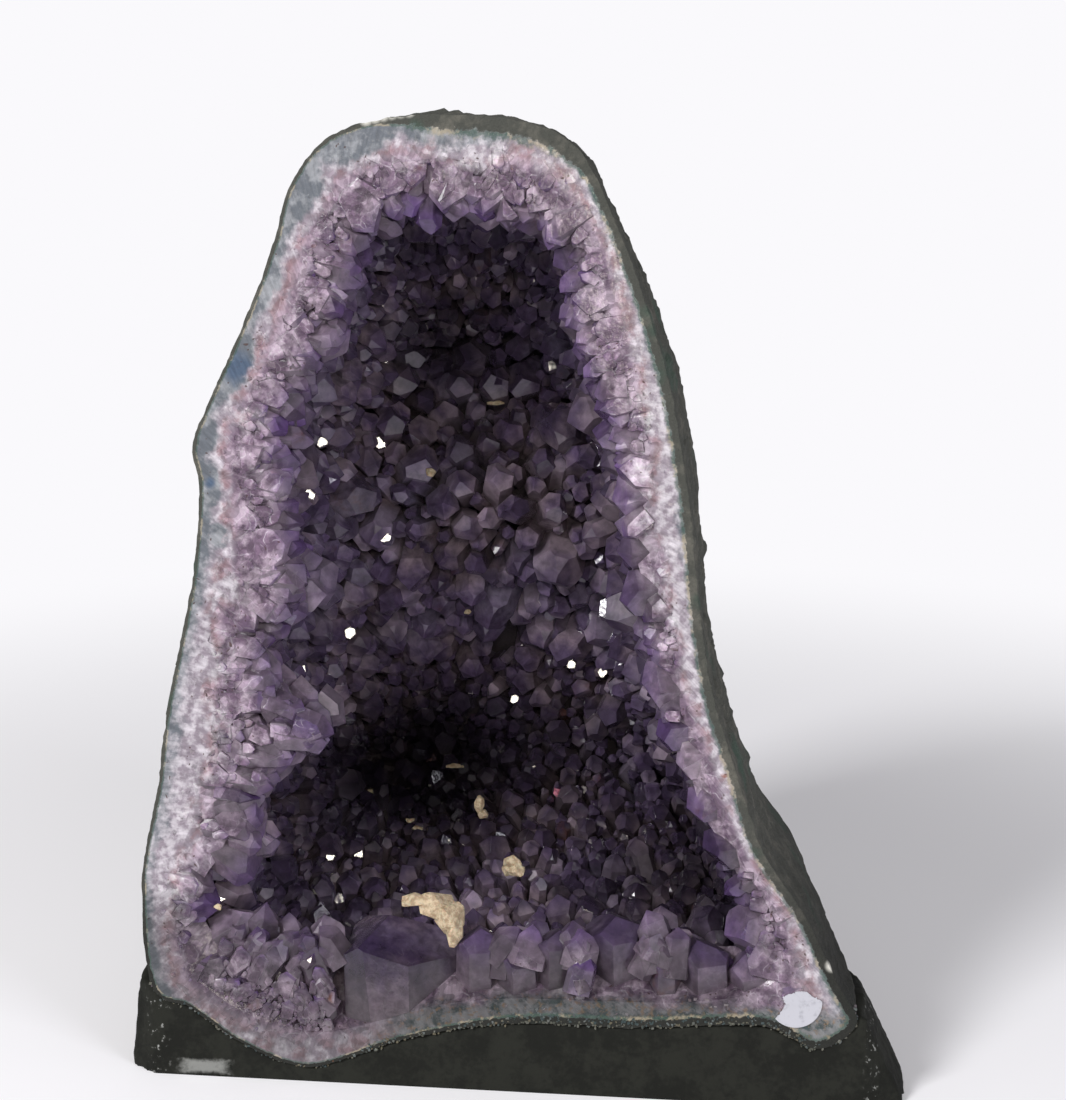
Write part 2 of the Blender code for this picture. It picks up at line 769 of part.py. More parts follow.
def build_foot(pocket):
    """The cement foot, cast round the bottom of the stone."""
    mesh = bmesh.new()
    rings = []
    for share in FOOT_LEVELS:
        places = [(x, y, z, foot_lump(x, y, z)) for x, y, z in foot_ring(share)]
        rings.append([mesh.verts.new((x + lump, y + lump, z)) for x, y, z, lump in places])
    count = len(rings[0])
    for low, high in zip(rings, rings[1:]):
        for i in range(count):
            j = (i + 1) % count
            mesh.faces.new((low[i], low[j], high[j]))
            mesh.faces.new((low[i], high[j], high[i]))
    mesh.faces.new(rings[0][::-1])
    middle = mesh.verts.new((0, 0.45 * FOOT_BACK, FOOT_HEIGHT - FOOT_FALL))
    for i in range(count):
        mesh.faces.new((rings[-1][i], rings[-1][(i + 1) % count], middle))
    foot = finished(mesh, "cement_foot", material("painted_cement", (0.045, 0.047, 0.042), 0.85), True)
    cut_away(foot, pocket)
    return foot


def build_foot_pocket():
    """The stone without its hollow, grown by a touching gap, as the pocket in the foot."""
    mesh = bmesh.new()
    edge = add_stone_outside(mesh)[0]
    bmesh.ops.recalc_face_normals(mesh, faces=mesh.faces)
    mesh.normal_update()
    for vertex in mesh.verts:
        vertex.co += vertex.normal * POCKET_GROWTH
    front = [mesh.verts.new(vertex.co - Vector((0, POCKET_FORWARD, 0))) for vertex in edge]
    for i in range(AROUND):
        j = (i + 1) % AROUND
        mesh.faces.new((front[i], front[j], edge[j], edge[i]))
    mesh.faces.new(front)
    return finished(mesh, "stone_pocket", material("helper", (0.5, 0.5, 0.5), 0.5))


def stand_at_origin():
    """Moves everything so that the middle of the whole thing's underside is the origin."""
    shown = [thing for thing in bpy.data.objects if not thing.hide_render]
    corners = [Vector(corner) for thing in shown for corner in thing.bound_box]
    low = Vector([min(corner[k] for corner in corners) for k in range(3)])
    high = Vector([max(corner[k] for corner in corners) for k in range(3)])
    middle = (low + high) / 2
    for thing in bpy.data.objects:
        thing.location = (-middle.x, -middle.y, -low.z)


def main():
    """Builds the whole geode in an empty scene."""
    for leftover in list(bpy.data.objects):
        bpy.data.objects.remove(leftover)
    build_stone()
    build_crust(build_calcite())
    build_label()
    build_foot(build_foot_pocket())
    stand_at_origin()


main()
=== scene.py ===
"""The looks of an amethyst cathedral geode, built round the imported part.

The sawn face leans back a little and looks along -Y. A place on it is given in millimetres by u, to the
right, and w, up along the face; depth goes straight back from it, along +Y.
"""

import logging
import math
from dataclasses import dataclass, field
from enum import Enum
from itertools import combinations

import bmesh
import bpy
import numpy as np
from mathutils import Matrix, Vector, noise
from mathutils.bvhtree import BVHTree


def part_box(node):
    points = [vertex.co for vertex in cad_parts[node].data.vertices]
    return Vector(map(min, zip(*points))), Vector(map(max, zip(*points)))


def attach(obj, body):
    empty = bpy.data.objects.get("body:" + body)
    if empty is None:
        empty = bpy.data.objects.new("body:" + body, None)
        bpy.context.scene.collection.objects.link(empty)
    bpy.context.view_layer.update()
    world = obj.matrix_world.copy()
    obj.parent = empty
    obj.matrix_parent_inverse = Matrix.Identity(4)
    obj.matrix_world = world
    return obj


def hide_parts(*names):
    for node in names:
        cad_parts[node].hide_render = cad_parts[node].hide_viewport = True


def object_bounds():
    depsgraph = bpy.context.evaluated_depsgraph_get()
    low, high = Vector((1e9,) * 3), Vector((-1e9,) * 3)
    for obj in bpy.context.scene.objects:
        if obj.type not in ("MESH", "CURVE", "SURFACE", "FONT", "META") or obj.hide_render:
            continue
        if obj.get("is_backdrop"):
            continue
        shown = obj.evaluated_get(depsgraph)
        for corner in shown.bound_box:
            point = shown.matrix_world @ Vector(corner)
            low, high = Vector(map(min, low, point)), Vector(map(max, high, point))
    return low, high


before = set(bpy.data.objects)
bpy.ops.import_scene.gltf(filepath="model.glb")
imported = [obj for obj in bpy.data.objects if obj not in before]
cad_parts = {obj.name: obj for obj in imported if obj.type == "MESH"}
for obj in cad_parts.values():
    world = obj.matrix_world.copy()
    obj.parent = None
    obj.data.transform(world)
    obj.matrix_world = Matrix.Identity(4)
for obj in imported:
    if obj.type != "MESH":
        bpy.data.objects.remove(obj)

CAD_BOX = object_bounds()
MM = 0.001
LOG = logging.getLogger("geode")
Array = np.ndarray
Socket = bpy.types.NodeSocket
Nodes = bpy.types.NodeTree

# Where the photograph was taken from and looked, the small lamp that the crystals flash in, and the two large
# ones, in metres
EYE = (0.0957, -0.9055, 0.4353)
AIM = (0.012, -0.1094, 0.2651)
FLASH = (0.3, -1.7, 0.9)
WINDOW = (-1.5, -1.7, 1.7)
FILL = (1.7, -1.4, 1.0)

# The sawn face's outer edge, clockwise from the lower left: u and w
STONE_EDGE = (
    (-174, 44), (-179, 95), (-171, 141), (-166, 180), (-154, 240), (-150, 285), (-153, 306), (-144, 330),
    (-130, 360), (-115, 398), (-106, 428), (-88, 449), (-57, 458), (-25, 459), (5, 455), (28, 442), (44, 412),
    (60, 371), (72, 330), (81, 280), (86, 235), (93, 195), (105, 158), (117, 123), (138, 92), (154, 60),
    (163, 42), (145, 29), (118, 39), (62, 35), (0, 34), (-50, 24), (-95, 8), (-128, 17), (-155, 34),
)

# The line along which the sawn crystals are rooted, the same way round
ROOT_LINE = (
    (-159, 58), (-163, 95), (-150, 141), (-143, 180), (-132, 225), (-129, 260), (-127, 300), (-121, 332),
    (-108, 362), (-97, 392), (-89, 414), (-72, 433), (-46, 439), (-20, 438), (2, 433), (19, 421), (31, 400),
    (44, 364), (55, 328), (63, 290), (70, 245), (77, 205), (87, 170), (97, 140), (109, 116), (123, 92),
    (131, 74), (125, 60), (108, 52), (80, 48), (40, 47), (0, 46), (-35, 41), (-60, 33), (-92, 25), (-120, 30),
    (-142, 41),
)

# The line that the points of the sawn crystals reach, round the dark hollow
CAVITY_EDGE = (
    (-145, 85), (-131, 98), (-120, 113), (-120, 138), (-101, 158), (-89, 168), (-109, 186), (-117, 210),
    (-101, 229), (-99, 244), (-102, 263), (-106, 291), (-109, 302), (-102, 328), (-87, 352), (-80, 361),
    (-78, 379), (-73, 395), (-55, 411), (-43, 407), (-34, 412), (-22, 411), (-11, 409), (1, 405), (12, 400),
    (22, 395), (24, 380), (20, 366), (29, 348), (34, 330), (44, 316), (45, 298), (42, 280), (45, 263),
    (52, 247), (59, 229), (62, 210), (60, 191), (69, 173), (79, 154), (84, 136), (94, 122), (105, 103),
    (113, 87), (106, 75), (80, 81), (43, 82), (5, 77), (-24, 71), (-87, 71), (-121, 72),
)

# How much of the sawn band the cement hides at the bottom, as the agate ends below its edge, and where it
# begins to: upwards, and at both ends of the lower edge, in millimetres
HIDDEN_BY_CEMENT = 13
LOW_EDGE, LEFT_END, RIGHT_END = (52, 44), (-172, -155), (160, 145)

# How finely curves are followed, and how many places and bodies are worked on at a time to save memory
CURVE_STEPS = 4000
PLACES_AT_A_TIME, BODIES_AT_A_TIME = 4000, 400


def unit(vectors: Array) -> Array:
    """The vectors scaled to length one."""
    return vectors / np.maximum(np.linalg.norm(vectors, axis=-1, keepdims=True), 1e-12)


def turned_left(steps: Array) -> Array:
    """Steps along u and w, turned left by a quarter."""
    return np.stack([-steps[:, 1], steps[:, 0]], axis=1)


def uneven(points: Array, fall: float = 1.0, finer: float = 2.0, layers: int = 3) -> Array:
    """Uneven heights at points, with bumps about one unit apart under finer and lower ones."""
    heights = np.array([noise.fractal(Vector(p), fall, finer, layers) for p in points.reshape(-1, 3)])
    return heights.reshape(points.shape[:-1])


def rings(rows: int, around: int) -> tuple[Array, Array, Array]:
    """Points that lie in closed rings, and the faces between the rings.

    Args:
        rows: How many rings there are.
        around: How many points each one has.

    Returns:
        The points' numbers, the numbers of the next ones round, and the four corners of each face.
    """
    at = np.arange(rows * around).reshape(rows, around)
    after = np.roll(at, -1, axis=1)
    return at, after, np.stack([at[:-1], after[:-1], after[1:], at[1:]], axis=-1).reshape(-1, 4)


def placed(name: str, data: bpy.types.ID) -> bpy.types.Object:
    """Puts a new object in the scene.

    Args:
        name: Its name.
        data: Its mesh, lamp or camera.

    Returns:
        The object.
    """
    made = bpy.data.objects.new(name, data)
    bpy.context.scene.collection.objects.link(made)
    return made


def smooth(low: float, high: float, value: Array) -> Array:
    """A smooth step from 0 at low to 1 at high."""
    share = np.clip((value - low) / (high - low), 0, 1)
    return share * share * (3 - 2 * share)


def closed_curve(points: tuple, count: int) -> Array:
    """The closed smooth curve through the points.

    Args:
        points: The points, each with the same number of values.
        count: How many evenly spaced entries to return.

    Returns:
        The entries, one a row.
    """
    given = np.array(points, float)
    place = np.linspace(0, len(given), CURVE_STEPS, endpoint=False)
    index = place.astype(int)
    t = (place - index)[:, None]
    a, b, c, d = (given[(index + k) % len(given)] for k in (-1, 0, 1, 2))
    fine = b + 0.5 * t * (c - a + t * (2 * a - 5 * b + 4 * c - d + t * (3 * (b - c) + d - a)))
    steps = np.linalg.norm(np.roll(fine, -1, axis=0) - fine, axis=1)
    run = np.concatenate([[0], np.cumsum(steps)])
    wanted = run[-1] * np.arange(count) / count
    wrapped = np.vstack([fine, fine[:1]])
    return np.stack([np.interp(wanted, run, wrapped[:, k]) for k in range(given.shape[1])], axis=1)


def nearest(places: Array, line: Array) -> tuple[Array, Array]:
    """The nearest point of a line in the face for each place of the face.

    Args:
        places: The places, each with u and w first.
        line: The line's points.

    Returns:
        The distances in millimetres and the points found.
    """
    distance, found = np.empty(len(places)), np.empty((len(places), 2))
    for start in range(0, len(places), PLACES_AT_A_TIME):
        some = slice(start, start + PLACES_AT_A_TIME)
        gap = ((places[some, None, :2] - line[None]) ** 2).sum(axis=2)
        best = gap.argmin(axis=1)
        distance[some] = np.sqrt(gap[np.arange(len(best)), best])
        found[some] = line[best]
    return distance, found


@dataclass(frozen=True)
class Form:
    """The geode's main form: the sawn face, the outside behind it and the hollow's wall, in mm."""

    lean: float = math.radians(7)
    foot_inset: float = 0.8
    middle: tuple[float, float] = (-22, 200)
    stone_depth: float = 200
    hollow_depth: float = 182
    pole: tuple[float, float] = (-22, 178)
    top: float = 458
    depth_at_foot: float = 1.03
    depth_at_top: float = 0.80
    stone_fullness: tuple[float, float] = (0.62, 0.92)
    hollow_fullness: tuple[float, float] = (0.66, 0.95)
    swells: tuple = (
        (150, 110, 12), (80, 330, 12), (110, 230, 4), (-185, 110, 9), (-160, 280, 4), (-20, 470, 4),
    )
    swell_reach: float = 80
    swell_round: float = 0.8
    backward: float = 0.7
    waist_at: tuple[float, float] = (-28, 252)
    waist_size: tuple[float, float] = (100, 52)
    waist_reach: float = 58
    lump_height: float = 3.2
    lump_spacing: float = 34

    @property
    def face_y(self) -> float:
        """Where the sawn face meets the ground, in metres: the foot stands a little behind it."""
        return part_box("cement_foot")[0][1] - self.foot_inset * MM

    def world(self, u: Array, w: Array, depth: Array) -> Array:
        """Points given by their places, in millimetres.

        Args:
            u: How far to the right they are.
            w: How far up the face.
            depth: How far behind it.

        Returns:
            The points in metres.
        """
        u, w, depth = np.broadcast_arrays(u, w, depth)
        y = w * math.sin(self.lean) + depth
        points = np.stack([u, y, w * math.cos(self.lean)], axis=-1) * MM
        points[..., 1] += self.face_y
        return points

    def on_face(self, points: Array) -> Array:
        """The places of points.

        Args:
            points: The points in metres.

        Returns:
            Their u, w and depth in millimetres.
        """
        local = points / MM
        y = local[..., 1] - self.face_y / MM
        w = local[..., 2] / math.cos(self.lean)
        return np.stack([local[..., 0], w, y - w * math.sin(self.lean)], axis=-1)

    @property
    def outward(self) -> Array:
        """The direction that the sawn face looks in."""
        return np.array([0, -math.cos(self.lean), math.sin(self.lean)])

    def direction(self, steps: Array) -> Array:
        """The unit directions in the world of steps along u and w."""
        u, w = steps.T
        return unit(np.stack([u, w * math.sin(self.lean), w * math.cos(self.lean)], axis=1))

    def inside(self, places: Array, line: Array) -> Array:
        """Whether places of the face lie inside a closed line round the hollow.

        Args:
            places: The places, with u and w first.
            line: The line's points, which go round the middle once.

        Returns:
            For each place, whether it does.
        """
        gap, out = line - np.array(self.middle), places[:, :2] - np.array(self.middle)
        bearing = np.arctan2(gap[:, 1], gap[:, 0])
        order = np.argsort(bearing)
        reach = np.hypot(*gap[order].T)
        limit = np.interp(np.arctan2(out[:, 1], out[:, 0]), bearing[order], reach, period=2 * math.pi)
        return np.hypot(*out.T) < limit

    def depth_scale(self, w: Array) -> Array:
        """How deep the stone is at this height, beside its full depth."""
        return self.depth_at_foot + (self.depth_at_top - self.depth_at_foot) * np.clip(w / self.top, 0, 1)

    def swell(self, u: Array, w: Array) -> Array:
        """How far the flank stands out past the sawn edge near u and w."""
        return sum(
            out * np.exp(-((u - at_u) ** 2 + (w - at_w) ** 2) / self.swell_reach**2)
            for at_u, at_w, out in self.swells
        )

    def outside(self, u: Array, w: Array, turn: Array) -> tuple[Array, Array]:
        """Points of the stone's outside.

        Args:
            u: Where on the sawn edge the points lie behind.
            w: The same, upwards.
            turn: 0 at the sawn edge and 1 at the back pole.

        Returns:
            The points in metres, and the rough directions out of the stone there.
        """
        angle = turn * math.pi / 2
        across = np.cos(angle) ** self.stone_fullness[0]
        out_u, out_w = u - self.pole[0], w - self.pole[1]
        away = np.hypot(out_u, out_w)
        grow = across * (1 + self.swell(u, w) * np.sin(2 * angle) ** self.swell_round / away)
        at_u, at_w = self.pole[0] + out_u * grow, self.pole[1] + out_w * grow
        depth = self.stone_depth * self.depth_scale(at_w) * np.sin(angle) ** self.stone_fullness[1]
        points = self.world(at_u, at_w, depth)
        outward = unit(np.stack([out_u * grow, depth * self.backward, out_w * grow], axis=-1) + 1e-9)
        lumps = uneven((points - [0, self.face_y, 0]) / (self.lump_spacing * MM))
        rise = lumps * self.lump_height * MM * np.sqrt(np.sin(angle))
        return points + outward * rise[..., None], outward

    def wall(self, u: Array, w: Array, turn: Array) -> Array:
        """Points of the hollow's wall.

        Args:
            u: Where on the root line the points lie behind.
            w: The same, upwards.
            turn: 0 at the root line and 1 at the back.

        Returns:
            The points in metres.
        """
        angle = turn * math.pi / 2
        across = np.cos(angle) ** self.hollow_fullness[0]
        at_u, at_w = self.pole[0] + (u - self.pole[0]) * across, self.pole[1] + (w - self.pole[1]) * across
        depth = self.hollow_depth * self.depth_scale(at_w) * np.sin(angle) ** self.hollow_fullness[1]
        sideways = (at_u - self.waist_at[0]) / self.waist_size[0]
        upward = (at_w - self.waist_at[1]) / self.waist_size[1]
        waist = self.waist_reach * np.exp(-(sideways**2) - upward**2)
        return self.world(at_u, at_w, np.maximum(depth - waist * np.sin(angle) ** 2, 0))


FORM = Form()
EDGE = closed_curve(STONE_EDGE, 1440)
ROOTS = closed_curve(ROOT_LINE, 1440)
CAVITY = closed_curve(CAVITY_EDGE, 1440)


def across_band(places: Array) -> tuple[Array, Array, Array]:
    """How places of the face lie in the sawn band.

    Args:
        places: The places, with u and w first.

    Returns:
        How far across each is, from 0 at the outer edge to 1 at the crystals' points and beyond, the way to
        the hollow, and how far it is to the hollow's edge.
    """
    outer, edge = nearest(places, EDGE)
    low = smooth(*LOW_EDGE, edge[:, 1]) * smooth(*LEFT_END, edge[:, 0]) * smooth(*RIGHT_END, edge[:, 0])
    outer = outer + HIDDEN_BY_CEMENT * low
    inner, points = nearest(places, CAVITY)
    share = np.where(FORM.inside(places, CAVITY), 1.0, outer / np.maximum(outer + inner, 1e-6))
    inwards = unit(unit(points - places[:, :2]) + unit(places[:, :2] - edge))
    return share, inwards, inner


def band_of(points: Array) -> Array:
    """How far across the sawn band points in metres lie."""
    return across_band(FORM.on_face(points))[0]


def first_seen(places: Array, pieces: tuple[str, ...]) -> Array:
    """Where the eye meets some pieces on its way to places of the hollow.

    Args:
        places: The places, as u, w and depth.
        pieces: The pieces' names.

    Returns:
        The points in metres.
    """
    found = FORM.world(*places.T)
    ways, distance = unit(found - np.array(EYE)), np.full(len(found), np.inf)
    for name in pieces:
        mesh = bpy.data.objects[name].data
        tree = BVHTree.FromPolygons([v.co[:] for v in mesh.vertices], [p.vertices[:] for p in mesh.polygons])
        for index, way in enumerate(ways):
            hit, _, _, away = tree.ray_cast(Vector(EYE), Vector(way))
            if hit is not None and away < distance[index]:
                found[index], distance[index] = hit, away
    return found


def linear(code: str) -> tuple[float, float, float, float]:
    """An sRGB hex colour as linear values.

    Args:
        code: Six hex digits.

    Returns:
        Red, green, blue and an alpha of one.
    """
    parts = [int(code[k : k + 2], 16) / 255 for k in (0, 2, 4)]
    red, green, blue = (p / 12.92 if p <= 0.04045 else ((p + 0.055) / 1.055) ** 2.4 for p in parts)
    return red, green, blue, 1.0


def repeats(size: float) -> float:
    """The scale that makes a noise's bumps about this many millimetres across."""
    return 1 / (2 * size * MM)


def feed(tree: Nodes, node: bpy.types.Node, inputs: dict) -> None:
    """Gives a node's sockets their values.

    Args:
        tree: The tree that it is in.
        node: The node.
        inputs: For each socket, by name or number, a value or the socket that feeds it.
    """
    for key, value in inputs.items():
        if isinstance(value, Socket):
            tree.links.new(value, node.inputs[key])
        else:
            node.inputs[key].default_value = value


def add(tree: Nodes, kind: str, inputs: dict | None = None, out: int | str = 0, **settings: object) -> Socket:
    """Adds one node.

    Args:
        tree: The tree that it goes into.
        kind: The node's type, without the leading ShaderNode.
        inputs: For each socket, by name or number, a value or the socket that feeds it.
        out: Which of the node's outputs is wanted.
        settings: The node's own properties.

    Returns:
        That output.
    """
    made = tree.nodes.new("ShaderNode" + kind)
    for name, value in settings.items():
        setattr(made, name, value)
    feed(tree, made, inputs or {})
    return made.outputs[out]


# Settings that most finishes use: of a mix of colours, and of a range with soft ends
RGBA = {"data_type": "RGBA"}
SOFT = {"interpolation_type": "SMOOTHSTEP"}


def over(tree: Nodes, colour: Socket | tuple, *layers: tuple) -> Socket:
    """Lays colours over one another.

    Args:
        tree: The tree that they go into.
        colour: The lowest one.
        layers: For each of the others, the value that places it, where on that it starts and is full, how
            much it covers there, and its hex digits.

    Returns:
        The colour that is seen.
    """
    for value, start, full, most, code in layers:
        share = add(tree, "MapRange", {"Value": value, 1: start, 2: full, 4: most}, **SOFT)
        colour = add(tree, "Mix", {0: share, 6: colour, 7: linear(code)}, 2, **RGBA)
    return colour


class Facet(Enum):
    """What made a flat face of a crystal."""

    SIDE = 0
    POINT = 1
    FOOT = 2
    SAWN = 3
    SNAPPED = 4
    RIND = 5


# What each of a crystal's planes makes: six sides and six sloping faces, then one plane for each other kind
GROWN = [Facet.SIDE.value] * 6 + [Facet.POINT.value] * 6
FACETS = np.array(GROWN + [kind.value for kind in tuple(Facet)[2:]])
QUARTZ_SLOPE = math.radians(51.8)

# How many of the crystals are snapped off, and a plane's distance, in mm, at which it cuts nothing
BROKEN_SHARE = 0.10
FAR = 1e3


@dataclass
class Growth:
    """Crystals that are made together. Lengths are in millimetres; roots and axes are in the world."""

    root: Array
    axis: Array
    radius: Array
    length: Array
    spin: Array
    slope: Array
    cut: Array
    shave: Array
    snap: Array
    snap_reach: Array
    milk: Array
    stain: Array
    own: Array

    @staticmethod
    def of(
        root: Array, axis: Array, radius: Array, length: Array, rng: np.random.Generator, **given: Array
    ) -> "Growth":
        """Crystals with the usual variation.

        Args:
            root: Where each one's axis starts, in metres.
            axis: The way that it points.
            radius: Half its thickness.
            length: How long it is.
            rng: Where the variation comes from.
            given: Values to use in place of the usual ones.

        Returns:
            The crystals.
        """
        count = len(radius)
        broken = rng.random(count) < BROKEN_SHARE
        values = {
            "spin": rng.uniform(0, math.pi / 3, count),
            "slope": QUARTZ_SLOPE * rng.uniform(0.86, 1.0, count),
            "cut": np.full(count, False),
            "shave": rng.uniform(-0.45, 0.35, count),
            "snap": unit(axis + rng.normal(0, 0.45, (count, 3))),
            "snap_reach": np.where(broken, length * rng.uniform(0.72, 0.88, count), FAR),
            "milk": np.clip(rng.normal(0.3, 0.2, count), 0, 1),
            "stain": np.clip(rng.normal(0.1, 0.2, count), 0, 1),
            "own": np.zeros(count),
        }
        return Growth(root, axis, radius, length, **(values | given))

    @staticmethod
    def joined(parts: list["Growth"]) -> "Growth":
        """All the crystals of several growths as one."""
        names = Growth.__dataclass_fields__
        return Growth(**{name: np.concatenate([getattr(part, name) for part in parts]) for name in names})


@dataclass(frozen=True)
class Habit:
    """How quartz grows here: a six-sided prism under three large and three small sloping faces."""

    taper: float = 0.04
    side_varies: tuple[float, float] = (-0.20, 0.10)
    large_faces: tuple[float, float] = (-0.30, 0.0)
    small_faces: tuple[float, float] = (-0.06, 0.22)
    cut_tilt: float = 0.03
    rind: float = 5.0

    def planes(self, growth: Growth, rng: np.random.Generator) -> tuple[Array, Array]:
        """The planes that bound each crystal, in the order of FACETS.

        Args:
            growth: The crystals.
            rng: Where the variation comes from.

        Returns:
            The planes' outward directions and how far each stands from the crystal's root, in millimetres.
        """
        count = len(growth.radius)
        axis = growth.axis
        facing = np.broadcast_to(FORM.outward, axis.shape)
        helper = np.where((np.abs((axis * facing).sum(axis=1)) < 0.9)[:, None], facing, [1.0, 0.0, 0.0])
        first = unit(helper - axis * (helper * axis).sum(axis=1, keepdims=True))
        second = np.cross(axis, first)
        turns = growth.spin[:, None] + np.arange(6) * math.pi / 3 + rng.normal(0, 0.035, (count, 6))
        radial = np.cos(turns)[..., None] * first[:, None] + np.sin(turns)[..., None] * second[:, None]
        along = axis[:, None]
        radius = growth.radius[:, None]
        sides = unit(radial + self.taper * along)
        side_reach = radius * (1 + rng.uniform(*self.side_varies, (count, 6)))
        slope = growth.slope[:, None]
        sloping = np.sin(slope)[..., None] * radial + np.cos(slope)[..., None] * along
        shifts = np.where(
            np.arange(6) % 2 == 0,
            rng.uniform(*self.large_faces, (count, 6)),
            rng.uniform(*self.small_faces, (count, 6)),
        )
        slope_reach = growth.length[:, None] * np.cos(slope) + shifts * radius
        sawn = unit(facing[:, None] + rng.normal(0, self.cut_tilt, (count, 1, 3)))
        places = FORM.on_face(growth.root)
        sawn_reach = places[:, 2] * math.cos(FORM.lean) + growth.shave
        away, edge = nearest(places, EDGE)
        past = np.where(FORM.inside(places, EDGE), 1.0, -1.0)
        rim = FORM.direction((edge - places[:, :2]) * past[:, None])
        rim_reach = away * past - self.rind
        walls = [np.where(growth.cut, reach, FAR)[:, None] for reach in (sawn_reach, rim_reach)]
        outward = [sides, sloping, -along, sawn, growth.snap[:, None], rim[:, None]]
        snapped = growth.snap_reach[:, None]
        reaches = np.concatenate([side_reach, slope_reach, 0 * snapped, walls[0], snapped, walls[1]], axis=1)
        return np.concatenate(outward, axis=1), reaches


@dataclass
class Bodies:
    """Closed bodies with flat faces, as arrays ready for a mesh. Points are in metres."""

    points: Array
    owner: Array
    loops: Array
    starts: Array
    plane: Array

    @staticmethod
    def between(directions: Array, reaches: Array, centres: Array) -> "Bodies":
        """The bodies that lie inside all of their planes.

        Args:
            directions: For each body, its planes' outward directions.
            reaches: How far each plane stands from the body's centre, in millimetres.
            centres: The centres in metres.

        Returns:
            The bodies.
        """
        plane_count = directions.shape[1]
        threes = np.array(list(combinations(range(plane_count), 3)))
        points, owners, planes = [], [], []
        for start in range(0, len(directions), BODIES_AT_A_TIME):
            n, d = (values[start : start + BODIES_AT_A_TIME] for values in (directions, reaches))
            a, b, c = (n[:, threes[:, k]] for k in range(3))
            da, db, dc = (d[:, threes[:, k], None] for k in range(3))
            across = np.cross(b, c)
            volume = (a * across).sum(axis=2, keepdims=True)
            safe = np.where(np.abs(volume) < 1e-5, np.nan, volume)
            meet = (da * across + db * np.cross(c, a) + dc * np.cross(a, b)) / safe
            beyond = np.einsum("nti,npi->ntp", meet, n) - d[:, None, :]
            kept = np.nan_to_num(beyond, nan=1e9).max(axis=2) < 1e-6
            body, three = np.nonzero(kept)
            points.append(meet[body, three])
            owners.append(body + start)
            planes.append(threes[three])
        point, owner, plane = np.concatenate(points), np.concatenate(owners), np.concatenate(planes)
        corner = np.repeat(np.arange(len(point)), 3)
        side = owner[corner] * plane_count + plane.ravel()
        counts = np.bincount(side, minlength=len(directions) * plane_count)
        totals = [np.bincount(side, point[corner, k], len(counts)) for k in range(3)]
        middle = np.stack(totals, axis=1) / np.maximum(counts, 1)[:, None]
        normal = directions.reshape(-1, 3)[side]
        helper = np.where(np.abs(normal[:, 2:]) < 0.9, [0.0, 0.0, 1.0], [1.0, 0.0, 0.0])
        first = unit(np.cross(normal, helper))
        second = np.cross(normal, first)
        gap = point[corner] - middle[side]
        angle = np.arctan2((gap * second).sum(axis=1), (gap * first).sum(axis=1))
        usable = counts[side] >= 3
        corner, side, angle = corner[usable], side[usable], angle[usable]
        order = np.lexsort((angle, side))
        loops, sorted_side = corner[order], side[order]
        starts = np.flatnonzero(np.concatenate([[True], sorted_side[1:] != sorted_side[:-1]]))
        return Bodies(point * MM + centres[owner], owner, loops, starts, sorted_side[starts] % plane_count)


@dataclass
class Piece:
    """One piece of the finished look: what it stands for, and a slot name, which nothing here reads."""

    name: str
    slot: str
    replaces: tuple[str, ...] = ()

    def settle(self, mesh: bpy.types.Mesh, material: bpy.types.Material, values: dict[str, Array]) -> None:
        """Puts a mesh in the scene as this piece.

        Args:
            mesh: The mesh, in the world's metres.
            material: Its finish.
            values: Numbers for each vertex, which the finish reads by name.
        """
        for name, value in values.items():
            mesh.attributes.new(name, "FLOAT", "POINT").data.foreach_set("value", value.astype(np.float32))
        mesh.materials.append(material)
        made = placed(self.name, mesh)
        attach(made, "root")
        if self.replaces:
            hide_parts(*self.replaces)
        mesh.calc_loop_triangles()
        LOG.info("%s: %d triangles", self.name, len(mesh.loop_triangles))

    def mesh_of(self, bodies: Bodies, values: dict[str, Array] | None = None) -> bpy.types.Mesh:
        """The mesh of closed bodies with flat faces.

        Args:
            bodies: The bodies.
            values: Numbers for each face, which the finish reads by name.

        Returns:
            The mesh.
        """
        mesh = bpy.data.meshes.new(self.name)
        mesh.vertices.add(len(bodies.points))
        mesh.vertices.foreach_set("co", bodies.points.ravel())
        mesh.loops.add(len(bodies.loops))
        mesh.loops.foreach_set("vertex_index", bodies.loops)
        mesh.polygons.add(len(bodies.starts))
        mesh.polygons.foreach_set("loop_start", bodies.starts)
        for name, value in (values or {}).items():
            mesh.attributes.new(name, "FLOAT", "FACE").data.foreach_set("value", value.astype(np.float32))
        mesh.update(calc_edges=True)
        mesh.validate()
        mesh.shade_flat()
        return mesh


@dataclass(frozen=True)
class Single:
    """One crystal that the eye picks out.

    Its axis runs from root to tip, places on the face, and its tip is at this depth. Its root lies deeper, by
    this many radii. The spin turns it round its axis, in degrees; dark is how little light it gives back.
    """

    root: tuple[float, float]
    tip: tuple[float, float]
    depth: float
    radius: float
    milk: float = 0.4
    stain: float = 0.2
    slope: float = 44.0
    spin: float = 12.0
    deeper: float = 0.7
    dark: float = 0.6


@dataclass(frozen=True)
class Layer:
    """Crystals of one size in the sawn band. Their depth and the gap between them are in radii."""

    radius: tuple[float, float]
    band: tuple[float, float]
    gap: float
    depth: tuple[float, float]
    tilt: tuple[float, float]
    shave: tuple[float, float]
    reach: tuple[float, float]
    milk: float
    most: int = 2000


@dataclass(frozen=True)
class Row:
    """A row of crystals whose points reach the hollow's edge. Their depth is in radii."""

    step: float
    radius: tuple[float, float]
    depth: tuple[float, float]
    inwards: float


